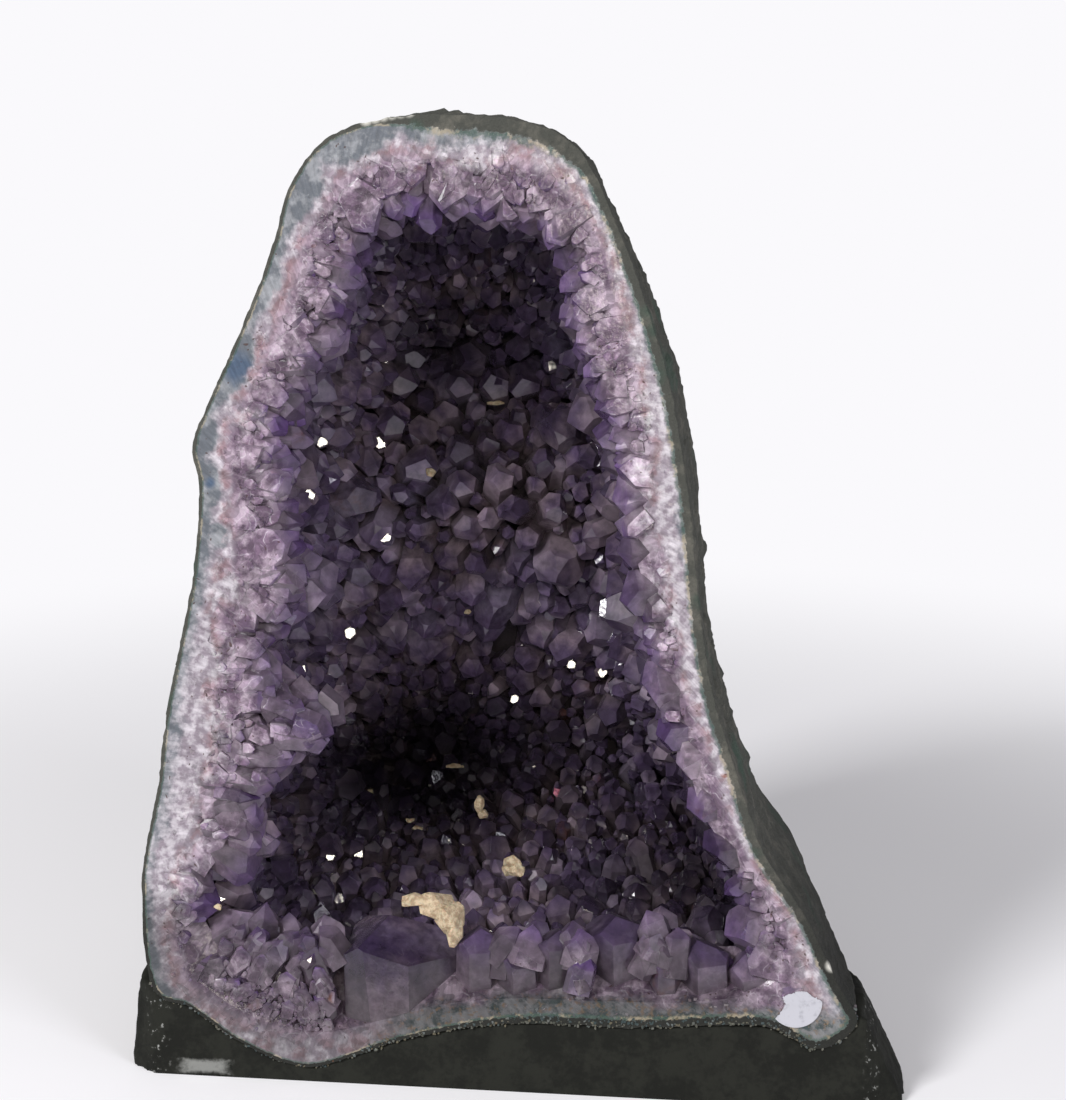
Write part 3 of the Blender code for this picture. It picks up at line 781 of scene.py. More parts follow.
@dataclass
class Druse:
    """All the crystals of the hollow and of the sawn band round it. Lengths are in millimetres."""

    seed: int = 7
    candidates: int = 60000
    face_candidates: int = 26000
    face_box: tuple = ((-180, 165), (0, 460))
    sizes: tuple = ((9.5, 12.0, 60), (7.2, 9.5, 320), (5.2, 7.2, 950), (3.4, 5.2, 2600))
    room: float = 0.72
    sunk: float = 4.0
    wall_turns: tuple[float, float] = (0.03, 0.985)
    lean_varies: float = 0.20
    length_of_radius: tuple[float, float] = (1.9, 2.7)
    shortest: float = 5.0
    neighbours: int = 5
    turn_step: float = 0.01
    smaller_high: tuple[float, float, float] = (0.25, 310, 370)
    smaller_low: tuple[float, float, float] = (0.22, 200, 150)
    cut_depth: float = 45
    wall_milk: tuple[float, float] = (0.15, 0.2)
    sawn_milk: tuple[float, float] = (0.45, 0.22)
    rows: tuple[Row, ...] = (
        Row(8.5, (5.5, 9.0), (0.9, 1.5), 0.0),
        Row(9.0, (6.0, 9.5), (1.5, 2.2), 2.0),
        Row(9.5, (6.0, 9.5), (2.4, 3.1), 3.5),
    )
    flash_radius: tuple[float, float] = (2.4, 4.4)
    flash_length: float = 9.0
    flash_reach: float = 5.4
    flash_sunk: float = 3.2
    large: float = 4.5
    mirror_angle: float = math.radians(7)
    turned: float = math.radians(22)
    singles_room: float = 1.0
    singles_depth: float = 42
    row_swing: float = 0.30
    row_uneven: float = 3.2
    row_length: tuple[float, float] = (18.0, 26.0)
    row_shave: tuple[float, float] = (-0.9, -0.2)
    layer_swing: float = 0.38
    behind: tuple[float, float] = (1.0, 1.9)
    least_ahead: float = 0.6
    layers: tuple[Layer, ...] = (
        Layer((7.5, 12.0), (0.48, 0.97), 0.76, (0.3, 0.9), (-0.15, 0.6), (-0.7, 0.3), (1.0, 2.0), 0.35),
        Layer((4.5, 7.0), (0.40, 0.96), 0.95, (0.4, 1.2), (-0.2, 0.8), (-1.2, 0.2), (1.0, 2.2), 0.45),
        Layer((1.6, 3.4), (0.24, 0.70), 1.2, (0.0, 0.7), (-0.5, 0.9), (-0.5, 0.1), (1.0, 2.4), 0.55),
    )
    standing_proud: float = 0.45
    corner: tuple[float, float, float, float] = (-120, 36, 38, 0.5)
    # Painted shade in the hollow: each spot, as u, w, depth, reach and amount, darkens the crystals where the
    # bulge and the top leave them in shade; a negative amount lightens them instead, as painted light.
    painted_hollow_shade: tuple = (
        (-62, 112, 146, 38, 1.45), (-50, 345, 117, 28, 0.85), (10, 118, 150, 38, 0.60),
        (74, 86, 80, 50, 0.95), (-110, 85, 100, 36, 0.45), (-15, 385, 80, 20, 0.10), (20, 330, 100, 30, 0.30),
        (-100, 112, 130, 26, 0.7), (-42, 182, 135, 44, -0.55), (-90, 240, 70, 36, -0.25),
    )
    glints: tuple = (
        (-102, 303, 47), (-83, 295, 101), (-108, 272, 53), (-79, 242, 100), (-77, 336, 92), (6, 334, 109),
        (-100, 191, 107), (-116, 187, 63), (-16, 144, 157), (16, 168, 150), (31, 165, 143), (-105, 45, 30),
        (-142, 84, 8), (-96, 68, 117), (0, 85, 113), (-110, 69, 107), (-45, 63, 75), (-10, 64, 58),
    )
    singles: tuple[Single, ...] = (
        Single((-56, 26), (-59, 80), 26, 31, 0.25, 0.25, 30, 36, 0.1, 0.95),
        Single((-16, 42), (-16, 78), 10, 11, 0.35, 0.3, 36),
        Single((3, 42), (3, 71), 8, 9.5, 0.35, 0.3, 36, 22),
        Single((21, 42), (21, 78), 10, 11.5, 0.75, 0.2, 36, 16),
        Single((49, 42), (48, 85), 13, 15, 0.30, 0.2, 32, 25),
        Single((73, 42), (73, 70), 8, 9, 0.35, 0.6, 38, 5),
        Single((92, 42), (91, 76), 11, 13, 0.45, 0.2, 34, 18),
        Single((117, 46), (113, 72), 9, 11, 0.55, 0.3, 38, 8, 0.7, 0.4),
        Single((88, 197), (58, 195), 9, 12, 0.65, 0.45, 30, 26, 0.5, 0.45),
        Single((92, 176), (64, 173), 7, 9, 0.0, 0.0, 36, 20, 0.6, 0.25),
        Single((104, 166), (74, 160), 9, 12.5, 0.95, 0.35, 30, 30, 0.5, 0.3),
        Single((110, 145), (80, 138), 9, 11.5, 0.35, 0.5, 34, 14, 0.5, 0.5),
        Single((118, 124), (88, 117), 9, 11, 0.15, 0.2, 36, 20, 0.6, 0.5),
        Single((74, 286), (42, 284), 10, 12, 0.45, 0.1, 34, 5, 0.6, 0.15),
        Single((74, 262), (45, 260), 10, 11, 0.55, 0.1, 40, 18, 0.6, 0.15),
        Single((76, 240), (46, 238), 9, 11, 0.30, 0.1, 40, 10, 0.6, 0.3),
        Single((-43, 430), (-43, 403), 9, 7, 0.0, 0.0, 46, 2, 0.8, 0.1),
        Single((-150, 112), (-122, 95), 11, 12, 0.35, 0.2, 40, 36, 0.6, 0.25),
        Single((-148, 136), (-119, 122), 10, 10, 0.4, 0.2, 40, 28, 0.6, 0.25),
        Single((-151, 62), (-133, 98), 40, 9, 0.0, 0.0, 40, 15, 0.1, 1.0),
    )

    def wall_places(self, rng: np.random.Generator) -> tuple[Array, Array]:
        """Places spread evenly over the hollow's wall.

        Args:
            rng: Where the places come from.

        Returns:
            The places in metres and the directions from the wall to the inside.
        """
        index = rng.integers(0, len(ROOTS), self.candidates)
        turn = rng.uniform(*self.wall_turns, self.candidates)
        u, w = ROOTS[index].T
        ahead, behind = ROOTS[(index + self.neighbours) % len(ROOTS)], ROOTS[index - self.neighbours]
        along = FORM.wall(*ahead.T, turn) - FORM.wall(*behind.T, turn)
        deeper = FORM.wall(u, w, turn + self.turn_step) - FORM.wall(u, w, turn - self.turn_step)
        across = np.cross(deeper, along)
        area = np.linalg.norm(across, axis=1)
        here = FORM.wall(u, w, turn)
        inside = unit(across)
        to_pole = FORM.world(np.array(FORM.pole[0]), np.array(FORM.pole[1]), np.array(0.0)) - here
        inside *= np.sign((inside * to_pole).sum(axis=1))[:, None]
        kept = rng.random(self.candidates) < area / area.max()
        return here[kept], inside[kept]

    def spread(
        self, here: Array, wanted: list[tuple], gap: float, rng: np.random.Generator
    ) -> tuple[Array, Array]:
        """Picks places far enough from each other for crystals, the large ones first.

        Args:
            here: The places to pick from, in metres.
            wanted: For each size, the smallest and largest radius, how many, and the scale at each place.
            gap: How near the neighbours stand, in sums of their radii.
            rng: Where the radii come from.

        Returns:
            Which places were picked, and the radii.
        """
        chosen, radii, roots = [], [], np.empty((len(here), 3))
        at = 0
        for low, high, count, scale in wanted:
            taken = 0
            while taken < count and at < len(here):
                radius = rng.uniform(low, high) * scale[at]
                near = np.linalg.norm(roots[: len(radii)] - here[at], axis=1) / MM
                if not radii or (near - gap * (np.array(radii) + radius)).min() > 0:
                    roots[len(radii)] = here[at]
                    radii.append(radius)
                    chosen.append(at)
                    taken += 1
                at += 1
            at = at if at < len(here) else 0
        return np.array(chosen), np.array(radii)

    def on_wall(self, rng: np.random.Generator) -> Growth:
        """The crystals that cover the hollow's wall, the large ones first and the small ones between them.

        Args:
            rng: Where the variation comes from.

        Returns:
            The crystals.
        """
        here, inside = self.wall_places(rng)
        places = FORM.on_face(here)
        kept = (places[:, 2] > self.singles_depth) | self.beside_singles(places)
        here, inside, places = here[kept], inside[kept], places[kept]
        high, low = (
            much * smooth(start, full, places[:, 1])
            for much, start, full in (self.smaller_high, self.smaller_low)
        )
        zone = 1.0 - high - low
        zone += 0.25 * smooth(60, 20, places[:, 2]) * smooth(130, 90, places[:, 1])
        chosen, radius = self.spread(here, [(*size, zone) for size in self.sizes], self.room, rng)
        count = len(chosen)
        axis = unit(inside[chosen] + rng.normal(0, self.lean_varies, (count, 3)))
        length = self.shortest + radius * rng.uniform(*self.length_of_radius, count) + self.sunk
        LOG.info("wall crystals: %d", count)
        cut = places[chosen, 2] < self.cut_depth
        milk = np.clip(rng.normal(*self.wall_milk, count), 0, 1)
        return Growth.of(here[chosen] - axis * self.sunk * MM, axis, radius, length, rng, cut=cut, milk=milk)

    def flashing(self, rng: np.random.Generator) -> Growth:
        """Small broken crystals, each with a face that throws the small lamp's light to the eye.

        Args:
            rng: Where the variation comes from.

        Returns:
            The crystals.
        """
        spots = first_seen(np.array(self.glints, float), ("wall_crystals", "edge_crystals", "sawn_crystals"))
        way = unit(unit(np.array(EYE) - spots) + unit(np.array(FLASH) - spots))
        count = len(spots)
        given = {
            "snap": way,
            "snap_reach": np.full(count, self.flash_reach),
            "milk": np.full(count, 0.05),
            "stain": np.zeros(count),
        }
        axis = unit(way + rng.normal(0, 0.35, (count, 3)))
        radius = rng.uniform(*self.flash_radius, count)
        start = spots - way * self.flash_sunk * MM
        return Growth.of(start, axis, radius, np.full(count, self.flash_length), rng, **given)

    def mirrors(self, growth: Growth, directions: Array) -> Array:
        """Whether large crystals would throw a lamp's light at the camera.

        Args:
            growth: The crystals.
            directions: The outward directions of their planes.

        Returns:
            For each crystal, whether it is large and one of its grown faces does.
        """
        tips = growth.root + growth.axis * growth.length[:, None] * MM
        back = unit(np.array(EYE) - tips)
        aligned = np.zeros(len(tips))
        for lamp in (WINDOW, FILL, FLASH):
            way = unit(back + unit(np.array(lamp) - tips))
            facing = np.einsum("npi,ni->np", directions[:, : len(GROWN)], way)
            aligned = np.maximum(aligned, facing.max(axis=1))
        return (aligned > math.cos(self.mirror_angle)) & (growth.radius > self.large)

    def beside_singles(self, places: Array) -> Array:
        """Whether places of the face are far enough from the crystals that are placed one by one.

        Args:
            places: The places, with u and w first.

        Returns:
            For each place, whether it is.
        """
        clear = np.full(len(places), True)
        for one in self.singles:
            start, way = np.array(one.root, float), np.subtract(one.tip, one.root).astype(float)
            share = np.clip((places[:, :2] - start) @ way / (way @ way), 0, 0.85)[:, None]
            away = np.linalg.norm(places[:, :2] - start - share * way, axis=1)
            clear &= away > self.singles_room * one.radius
        return clear

    def along_face(
        self, tips: Array, roots: Array, depth: Array, radius: Array, rng: np.random.Generator
    ) -> Growth:
        """Crystals that lie along the sawn face.

        Args:
            tips: Where they point, as u and w.
            roots: Where they start, as u and w.
            depth: How far their axes are behind the face.
            radius: Their radii.
            rng: Where the variation comes from.

        Returns:
            The crystals.
        """
        count = len(tips)
        start = FORM.world(*roots.T, depth)
        end = FORM.world(*tips.T, depth + rng.normal(0, 2.0, count))
        length = np.linalg.norm(end - start, axis=1) / MM
        given = {"cut": np.full(count, True), "snap_reach": np.full(count, FAR)}
        given["milk"] = np.clip(rng.normal(*self.sawn_milk, count), 0, 1)
        return Growth.of(start, unit(end - start), radius, length, rng, **given)

    def row(self, spec: Row, rng: np.random.Generator) -> Growth:
        """One row of crystals round the hollow, whose points reach the hollow's edge.

        Args:
            spec: The row's sizes.
            rng: Where the variation comes from.

        Returns:
            The crystals.
        """
        run = np.linalg.norm(np.roll(CAVITY, -1, axis=0) - CAVITY, axis=1).sum()
        count = int(run / spec.step)
        run_share = (np.arange(count) + rng.uniform(-0.3, 0.3, count)) * len(CAVITY) / count
        tips = CAVITY[run_share.astype(int) % len(CAVITY)]
        tips = tips[self.beside_singles(tips)]
        count = len(tips)
        away = unit(tips - nearest(tips, ROOTS)[1])
        away = unit(away + turned_left(away) * rng.normal(0, self.row_swing, count)[:, None])
        radius = rng.uniform(*spec.radius, count)
        tips += away * (spec.inwards + rng.normal(0, self.row_uneven, count))[:, None]
        starts = tips - away * rng.uniform(*self.row_length, count)[:, None]
        grown = self.along_face(tips, starts, radius * rng.uniform(*spec.depth, count), radius, rng)
        grown.shave = rng.uniform(*self.row_shave, count)
        return grown

    def layer(self, spec: Layer, rng: np.random.Generator) -> Growth:
        """Crystals that the saw went through at all angles, spread over the sawn band.

        Args:
            spec: The layer's sizes.
            rng: Where the variation comes from.

        Returns:
            The crystals.
        """
        places = np.stack([rng.uniform(*span, self.face_candidates) for span in self.face_box], axis=1)
        share, inwards, room = across_band(places)
        kept = FORM.inside(places, EDGE) & ~FORM.inside(places, CAVITY) & self.beside_singles(places)
        kept &= (share > spec.band[0]) & (share < spec.band[1])
        places, inwards, room, share = places[kept], inwards[kept], room[kept], share[kept]
        u, w, reach, smaller = self.corner
        scale = 1 - smaller * np.exp(-((places[:, 0] - u) ** 2 + (places[:, 1] - w) ** 2) / reach**2)
        scale *= 0.65 + 0.35 * smooth(0.45, 0.75, share)
        flat = FORM.world(*places.T, 0)
        chosen, radius = self.spread(flat, [(*spec.radius, spec.most, scale)], spec.gap, rng)
        places, inwards, room, share = places[chosen], inwards[chosen], room[chosen], share[chosen]
        count = len(chosen)
        swing = rng.normal(0, self.layer_swing, count)[:, None]
        level = FORM.direction(inwards + turned_left(inwards) * swing)
        tilt = rng.uniform(*spec.tilt, count)[:, None]
        axis = level * np.cos(tilt) + FORM.outward * np.sin(tilt)
        wanted = radius * rng.uniform(*spec.reach, count)
        ahead = np.minimum(wanted, (room + rng.uniform(-1.0, 1.5, count)) / np.cos(tilt[:, 0]))
        behind = radius * rng.uniform(*self.behind, count)
        sunk = rng.uniform(*spec.depth, count) + self.standing_proud * smooth(0.68, 0.95, share)
        middle = FORM.world(*places.T, radius * sunk)
        least = self.least_ahead * radius
        middle -= level * np.maximum(least - ahead, 0)[:, None] * MM
        ahead = np.maximum(ahead, least)
        given = {
            "cut": np.full(count, True),
            "shave": rng.uniform(*spec.shave, count),
            "milk": np.clip(rng.normal(spec.milk, 0.2, count), 0, 1),
            "snap_reach": np.full(count, FAR),
        }
        LOG.info("sawn layer: %d", count)
        return Growth.of(middle - axis * behind[:, None] * MM, axis, radius, ahead + behind, rng, **given)

    def standing_out(self, rng: np.random.Generator) -> Growth:
        """The crystals that are placed one by one.

        Args:
            rng: Where the variation comes from.

        Returns:
            The crystals.
        """
        names = Single.__dataclass_fields__
        of = {name: np.array([getattr(one, name) for one in self.singles], float) for name in names}
        grown = self.along_face(of["tip"], of["root"], of["depth"], of["radius"], rng)
        start = FORM.world(*of["root"].T, of["depth"] + of["deeper"] * of["radius"])
        end = FORM.world(*of["tip"].T, of["depth"])
        grown.root, grown.axis = start, unit(end - start)
        grown.length = np.linalg.norm(end - start, axis=1) / MM
        grown.milk, grown.stain, grown.own = of["milk"], of["stain"], of["dark"]
        grown.slope, grown.spin = np.radians(of["slope"]), np.radians(of["spin"])
        grown.shave = rng.uniform(-0.6, 0.2, len(self.singles))
        return grown

    def piece(self, name: str, growth: Growth, replaces: tuple, rng: np.random.Generator) -> None:
        """Makes one piece from a growth.

        Args:
            name: The piece's name.
            growth: Its crystals.
            replaces: The solid nodes that it stands for.
            rng: Where the variation comes from.
        """
        before = rng.bit_generator.state
        directions, _ = Habit().planes(growth, rng)
        growth.spin = growth.spin + self.turned * self.mirrors(growth, directions)
        rng.bit_generator.state = before
        directions, reaches = Habit().planes(growth, rng)
        bodies = Bodies.between(directions, reaches, growth.root)
        owner = bodies.owner
        rise = ((bodies.points - growth.root[owner]) * growth.axis[owner]).sum(axis=1) / MM
        tone = rng.random(len(growth.radius))
        places = FORM.on_face(bodies.points)
        # Painted shade from the hollow's spots, for each vertex
        painted_hollow_shade = sum(
            much * np.exp(-((places - [u, w, deep]) ** 2).sum(axis=1) / reach**2)
            for u, w, deep, reach, much in self.painted_hollow_shade
        )
        values = {
            "rise": rise / growth.length[owner],
            "milk": growth.milk[owner],
            "stain": growth.stain[owner],
            "own": growth.own[owner],
            "tone": tone[owner],
            "band": band_of(bodies.points),
            "deep": places[:, 2],
            "painted_hollow_shade": np.minimum(painted_hollow_shade, 1),
        }
        kinds = FACETS[bodies.plane]
        # A random number for each face, read by the finish as painted shade and light
        of_face = {"sawn": kinds == Facet.SAWN.value, "painted_facet_shade": rng.random(len(kinds))}
        made = Piece(name, "amethyst", replaces)
        mesh = made.mesh_of(bodies, of_face)
        made.settle(mesh, AMETHYST.material(), values)
        AMETHYST.share_out(mesh)

    def build(self) -> None:
        """Makes the crystals of the wall and of the sawn band."""
        rng = np.random.default_rng(self.seed)
        self.piece("wall_crystals", self.on_wall(rng), ("crystal_crust",), rng)
        rows = [self.row(spec, rng) for spec in self.rows]
        large, middling, small = (self.layer(spec, rng) for spec in self.layers)
        self.piece("edge_crystals", Growth.joined(rows + [self.standing_out(rng)]), (), rng)
        self.piece("sawn_crystals", Growth.joined([large, middling]), (), rng)
        self.piece("sugary_quartz", small, (), rng)
        self.piece("broken_points", self.flashing(rng), (), rng)


@dataclass
class Shell:
    """The stone: the rough rind outside, the sawn band of agate in front and the wall behind the crystals."""

    around: int = 600
    run_length: float = 1300
    outside_rows: int = 64
    ring_rows: int = 26
    lip_rows: int = 8
    lip_share: float = 0.62
    lip_fall: float = 4.0
    lip_fall_low: float = 22.0
    wall_rows: int = 18
    wall_back: float = 4.0
    rind_round: float = 1.0
    edge_rough: float = 1.6
    edge_chips: float = 3.2
    crowding: float = 1.35
    calm: tuple[float, float] = (12, 0.45)
    coarse: tuple[float, float] = (11.0, 1.3)
    fine: tuple[float, float] = (2.6, 0.95)
    grooves: tuple[float, float, float] = (45.0, 2.2, 0.6)
    spikes: tuple[float, float, float] = (14.0, 0.42, 5.0)
    dip: tuple[float, float] = (0.5, 2.2)
    rind_left: float = 1.6
    rind_right: float = 3.6
    rind_top: float = 7.0

    def rough(self, points: Array, spacing: float, height: float) -> Array:
        """Uneven heights in millimetres at points in metres, with bumps this far apart and this high."""
        return uneven(points / (spacing * MM), 0.9, 2.1) * height

    def outside(self, edge: Array) -> Array:
        """The rows of the outside, from near the back pole to the sawn edge.

        Args:
            edge: The sawn edge's points, as u and w.

        Returns:
            The points in metres, row by row.
        """
        share = np.arange(1, self.outside_rows + 1) / self.outside_rows
        turn = (1 - share) ** self.crowding
        u = np.broadcast_to(edge[:, 0], (len(turn), len(edge)))
        w = np.broadcast_to(edge[:, 1], u.shape)
        turns = np.broadcast_to(turn[:, None], u.shape)
        points, outward = FORM.outside(u, w, turns)
        lift = self.rough(points, *self.coarse) + self.rough(points, *self.fine)
        run = np.arange(len(edge)) / len(edge) * self.run_length
        across, down, height = self.grooves
        lines = [np.broadcast_to(run / across, u.shape), turns * FORM.stone_depth / down, 0 * u]
        lift += self.rough(np.stack(lines, axis=-1) * MM, 1.0, height)
        spacing, least, height = self.spikes
        lift += np.maximum(self.rough(points, spacing, 1.0) - least, 0) * height
        steep, least = self.calm
        reach = np.clip((1 - share) * steep, least, 1)[:, None]
        return points + outward * (lift * reach * MM)[..., None]

    def front(self, edge: Array, roots: Array) -> Array:
        """The rows of the sawn ring and of its lip under the crystals, from the outer edge inwards.

        Args:
            edge: The sawn edge's points, as u and w.
            roots: The root line's points beside them.

        Returns:
            The points in metres, row by row.
        """
        inwards = unit(np.array(FORM.middle) - edge)
        chips = self.rough(FORM.world(*edge.T, 0), self.edge_chips, self.edge_rough)
        start = edge + inwards * (self.rind_round + chips)[:, None]
        share = np.linspace(0, 1, self.ring_rows)[:, None, None]
        ring = start + (roots - start) * share
        lip = np.linspace(0, self.lip_share, self.lip_rows + 1)[1:, None, None]
        under = roots + (nearest(roots, CAVITY)[1] - roots) * lip
        places = np.concatenate([ring, under])
        flat = FORM.world(places[..., 0], places[..., 1], 0)
        band = band_of(flat.reshape(-1, 3)).reshape(flat.shape[:-1])
        dip = self.dip[0] * smooth(0.38, 0.5, band) + self.dip[1] * smooth(0.5, 0.8, band)
        low = smooth(75, 55, roots[:, 1]) * smooth(-115, -90, roots[:, 0]) * smooth(125, 105, roots[:, 0])
        fall = self.lip_fall + (self.lip_fall_low - self.lip_fall) * low
        dip[self.ring_rows :] += fall * (np.arange(1, self.lip_rows + 1) / self.lip_rows)[:, None] ** 0.7
        return FORM.world(places[..., 0], places[..., 1], dip + self.rough(flat, 14, 0.25))

    def rind_width(self, places: Array) -> Array:
        """How wide the sawn rind is at places of the face.

        Args:
            places: The places, with u and w first.

        Returns:
            The widths in millimetres.
        """
        right = smooth(-60, 30, places[:, 0])
        top = smooth(425, 445, places[:, 1]) * smooth(-70, -30, places[:, 0])
        width = self.rind_left + (self.rind_right - self.rind_left) * right
        return width + (self.rind_top - width) * top

    def build(self) -> None:
        """Makes the shell as one closed mesh."""
        edge, roots = closed_curve(STONE_EDGE, self.around), closed_curve(ROOT_LINE, self.around)
        front = self.front(edge, roots)
        turn = ((np.arange(self.wall_rows) + 0.5) / self.wall_rows)[:, None] ** 0.9
        wall = FORM.wall(np.broadcast_to(roots[:, 0], (len(turn), self.around)), roots[:, 1], turn)
        grid = np.concatenate([self.outside(edge), front, wall + [0, self.wall_back * MM, 0]])
        count = len(grid) * self.around
        back = FORM.outside(*(np.array([v]) for v in (*edge[0], 1.0)))[0][0]
        cave = FORM.wall(*roots[0], np.array(1.0)) + [0, self.wall_back * MM, 0]
        points = np.concatenate([grid.reshape(-1, 3), [back, cave]])
        at, after, quads = rings(len(grid), self.around)
        caps = [np.stack([after[0], at[0], np.full(self.around, count)], axis=1)]
        caps.append(np.stack([at[-1], after[-1], np.full(self.around, count + 1)], axis=1))
        mesh = bpy.data.meshes.new("stone_shell")
        mesh.from_pydata(points, [], quads.tolist() + np.concatenate(caps).tolist())
        mesh.update()
        places = FORM.on_face(points)
        start, end = self.outside_rows * self.around, (self.outside_rows + len(front)) * self.around
        face, inner = np.zeros(len(points)), np.zeros(len(points))
        face[start:end] = 1
        inner[end:] = 1
        inner[count] = 0
        inset = np.where(face > 0, nearest(places, EDGE)[0], 0)
        run = np.arange(self.around) / self.around * self.run_length
        values = {
            "face": face,
            "inner_wall": inner,
            "inset": inset,
            "rind": inset / self.rind_width(places),
            "band": band_of(points),
            "run": np.append(np.tile(run, len(grid)), [0, 0]),
        }
        Piece("stone_shell", "agate_and_rind", ("geode_stone",)).settle(mesh, RIND.material(), values)


def rubble(centres: Array, sizes: Array, rng: np.random.Generator, sides: int) -> Bodies:
    """Broken lumps with flat sides.

    Args:
        centres: The middles in metres.
        sizes: The half sizes in millimetres along X, Y and Z.
        rng: Where the shapes come from.
        sides: How many planes bound each lump.

    Returns:
        The lumps.
    """
    count = len(centres)
    facing = unit(rng.normal(0, 1, (count, sides, 3)))
    reach = rng.uniform(0.72, 1.0, (count, sides))
    stretched = facing / sizes[:, None]
    length = np.linalg.norm(stretched, axis=2)
    box = np.broadcast_to(np.concatenate([np.eye(3), -np.eye(3)]), (count, 6, 3))
    facing = np.concatenate([stretched / length[..., None], box], axis=1)
    reach = np.concatenate([reach / length, sizes, sizes], axis=1)
    return Bodies.between(facing, reach, centres)


@dataclass(frozen=True)
class Lump:
    """One broken lump: its place on the face, its depth and its half sizes."""

    place: tuple[float, float]
    depth: float
    half: tuple[float, float, float]


@dataclass
class CalciteBits:
    """The beige calcite that grew on the crystals, and a few small grains of it."""

    seed: int = 21
    sides: int = 17
    pieces: dict[str, tuple[tuple[Lump, ...], tuple[str, ...]]] = field(
        default_factory=lambda: {
            "calcite_chunk": (
                (
                    Lump((-47, 88), 10, (6.5, 4.5, 3)),
                    Lump((-37, 85), 10, (9.5, 6.5, 7)),
                    Lump((-31, 80), 10, (7.5, 6, 8)),
                    Lump((-28, 73), 8.5, (4.2, 4.5, 6.5)),
                ),
                ("calcite_cluster",),
            ),
            "calcite_on_floor": (
                (
                    Lump((-5, 93), 50, (5, 5, 4)),
                    Lump((-3, 90), 49, (4.5, 5, 4)),
                    Lump((-7, 89), 50, (3, 3, 3)),
                ),
                ("calcite_chip_floor",),
            ),
            "calcite_at_back": (
                (Lump((-27, 107), 91, (2.6, 3, 5)), Lump((-25, 102), 91, (3, 3, 2.4))),
                ("calcite_chip_back",),
            ),
        }
    )
    grains: tuple[Lump, ...] = (
        Lump((-54, 280), 92, (2.6, 2.6, 2.6)),
        Lump((-23, 314), 109, (4.6, 2.0, 1.2)),
        Lump((-48, 109), 146, (5.0, 2.4, 1.4)),
        Lump((-93, 96), 137, (3.0, 2.0, 1.6)),
        Lump((-62, 88), 106, (3.6, 2.4, 1.2)),
        Lump((-66, 92), 106, (2.4, 2.0, 1.2)),
        Lump((-39, 200), 126, (2.0, 2.0, 1.6)),
        Lump((-142, 84), 2, (2.0, 1.5, 1.4)),
    )
    pink: Lump = Lump((10, 99), 137, (3.0, 2.6, 2.8))

    def settle(
        self, piece: Piece, lumps: tuple[Lump, ...], centres: Array, finish: "Calcite", seed: int
    ) -> None:
        """Makes one piece from broken lumps.

        Args:
            piece: The piece.
            lumps: The lumps, for their sizes.
            centres: Their middles in metres.
            finish: What they are made of.
            seed: Where their shapes come from.
        """
        sizes = np.array([lump.half for lump in lumps], float)
        bodies = rubble(centres, sizes, np.random.default_rng(seed), self.sides)
        piece.settle(piece.mesh_of(bodies), finish.material(), {})

    def places(self, lumps: tuple[Lump, ...]) -> Array:
        """The lumps' places, as u, w and depth."""
        return np.array([(*lump.place, lump.depth) for lump in lumps], float)

    def resting(self, lumps: tuple[Lump, ...]) -> Array:
        """Where lumps sit on the wall's crystals, as the eye sees them.

        Args:
            lumps: The lumps.

        Returns:
            The middles in metres.
        """
        found = first_seen(self.places(lumps), ("wall_crystals",))
        raised = np.array([0.5 * min(lump.half) for lump in lumps])[:, None]
        return found + unit(np.array(EYE) - found) * raised * MM

    def build(self) -> None:
        """Makes the calcite pieces and the pink grain."""
        for number, (name, (lumps, replaces)) in enumerate(self.pieces.items()):
            centres = FORM.world(*self.places(lumps).T)
            self.settle(Piece(name, "calcite", replaces), lumps, centres, CALCITE, self.seed + number)
        loose = (("calcite_grains", self.grains, CALCITE, 5), ("pink_grain", (self.pink,), PINK_CALCITE, 6))
        for name, lumps, finish, number in loose:
            self.settle(Piece(name, "calcite"), lumps, self.resting(lumps), finish, self.seed + number)


@dataclass
class Foot:
    """The cement foot: the solid's own shape with worn edges and an uneven painted skin."""

    voxel: float = 2.0
    wear: float = 0.5
    wear_spacing: float = 7.0

    def build(self) -> None:
        """Makes the foot."""
        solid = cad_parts["cement_foot"]
        helper = placed("foot_helper", solid.data.copy())
        remesh = helper.modifiers.new("even", "REMESH")
        remesh.mode = "VOXEL"
        remesh.voxel_size = self.voxel * MM
        evaluated = helper.evaluated_get(bpy.context.evaluated_depsgraph_get())
        mesh = bpy.data.meshes.new_from_object(evaluated)
        bpy.data.objects.remove(helper)
        mesh.name = "foot"
        mesh.materials.clear()
        points, normals = (np.empty(len(mesh.vertices) * 3) for _ in range(2))
        mesh.vertices.foreach_get("co", points)
        mesh.vertices.foreach_get("normal", normals)
        points, normals = points.reshape(-1, 3), normals.reshape(-1, 3)
        rise = uneven(points / (self.wear_spacing * MM)) * self.wear * MM
        lifted = points + normals * rise[:, None] * smooth(0.5, 3.0, points[:, 2:] / MM)
        mesh.vertices.foreach_set("co", lifted.ravel())
        mesh.shade_smooth()
        Piece("foot", "painted_cement", ("cement_foot",)).settle(mesh, CEMENT.material(), {})


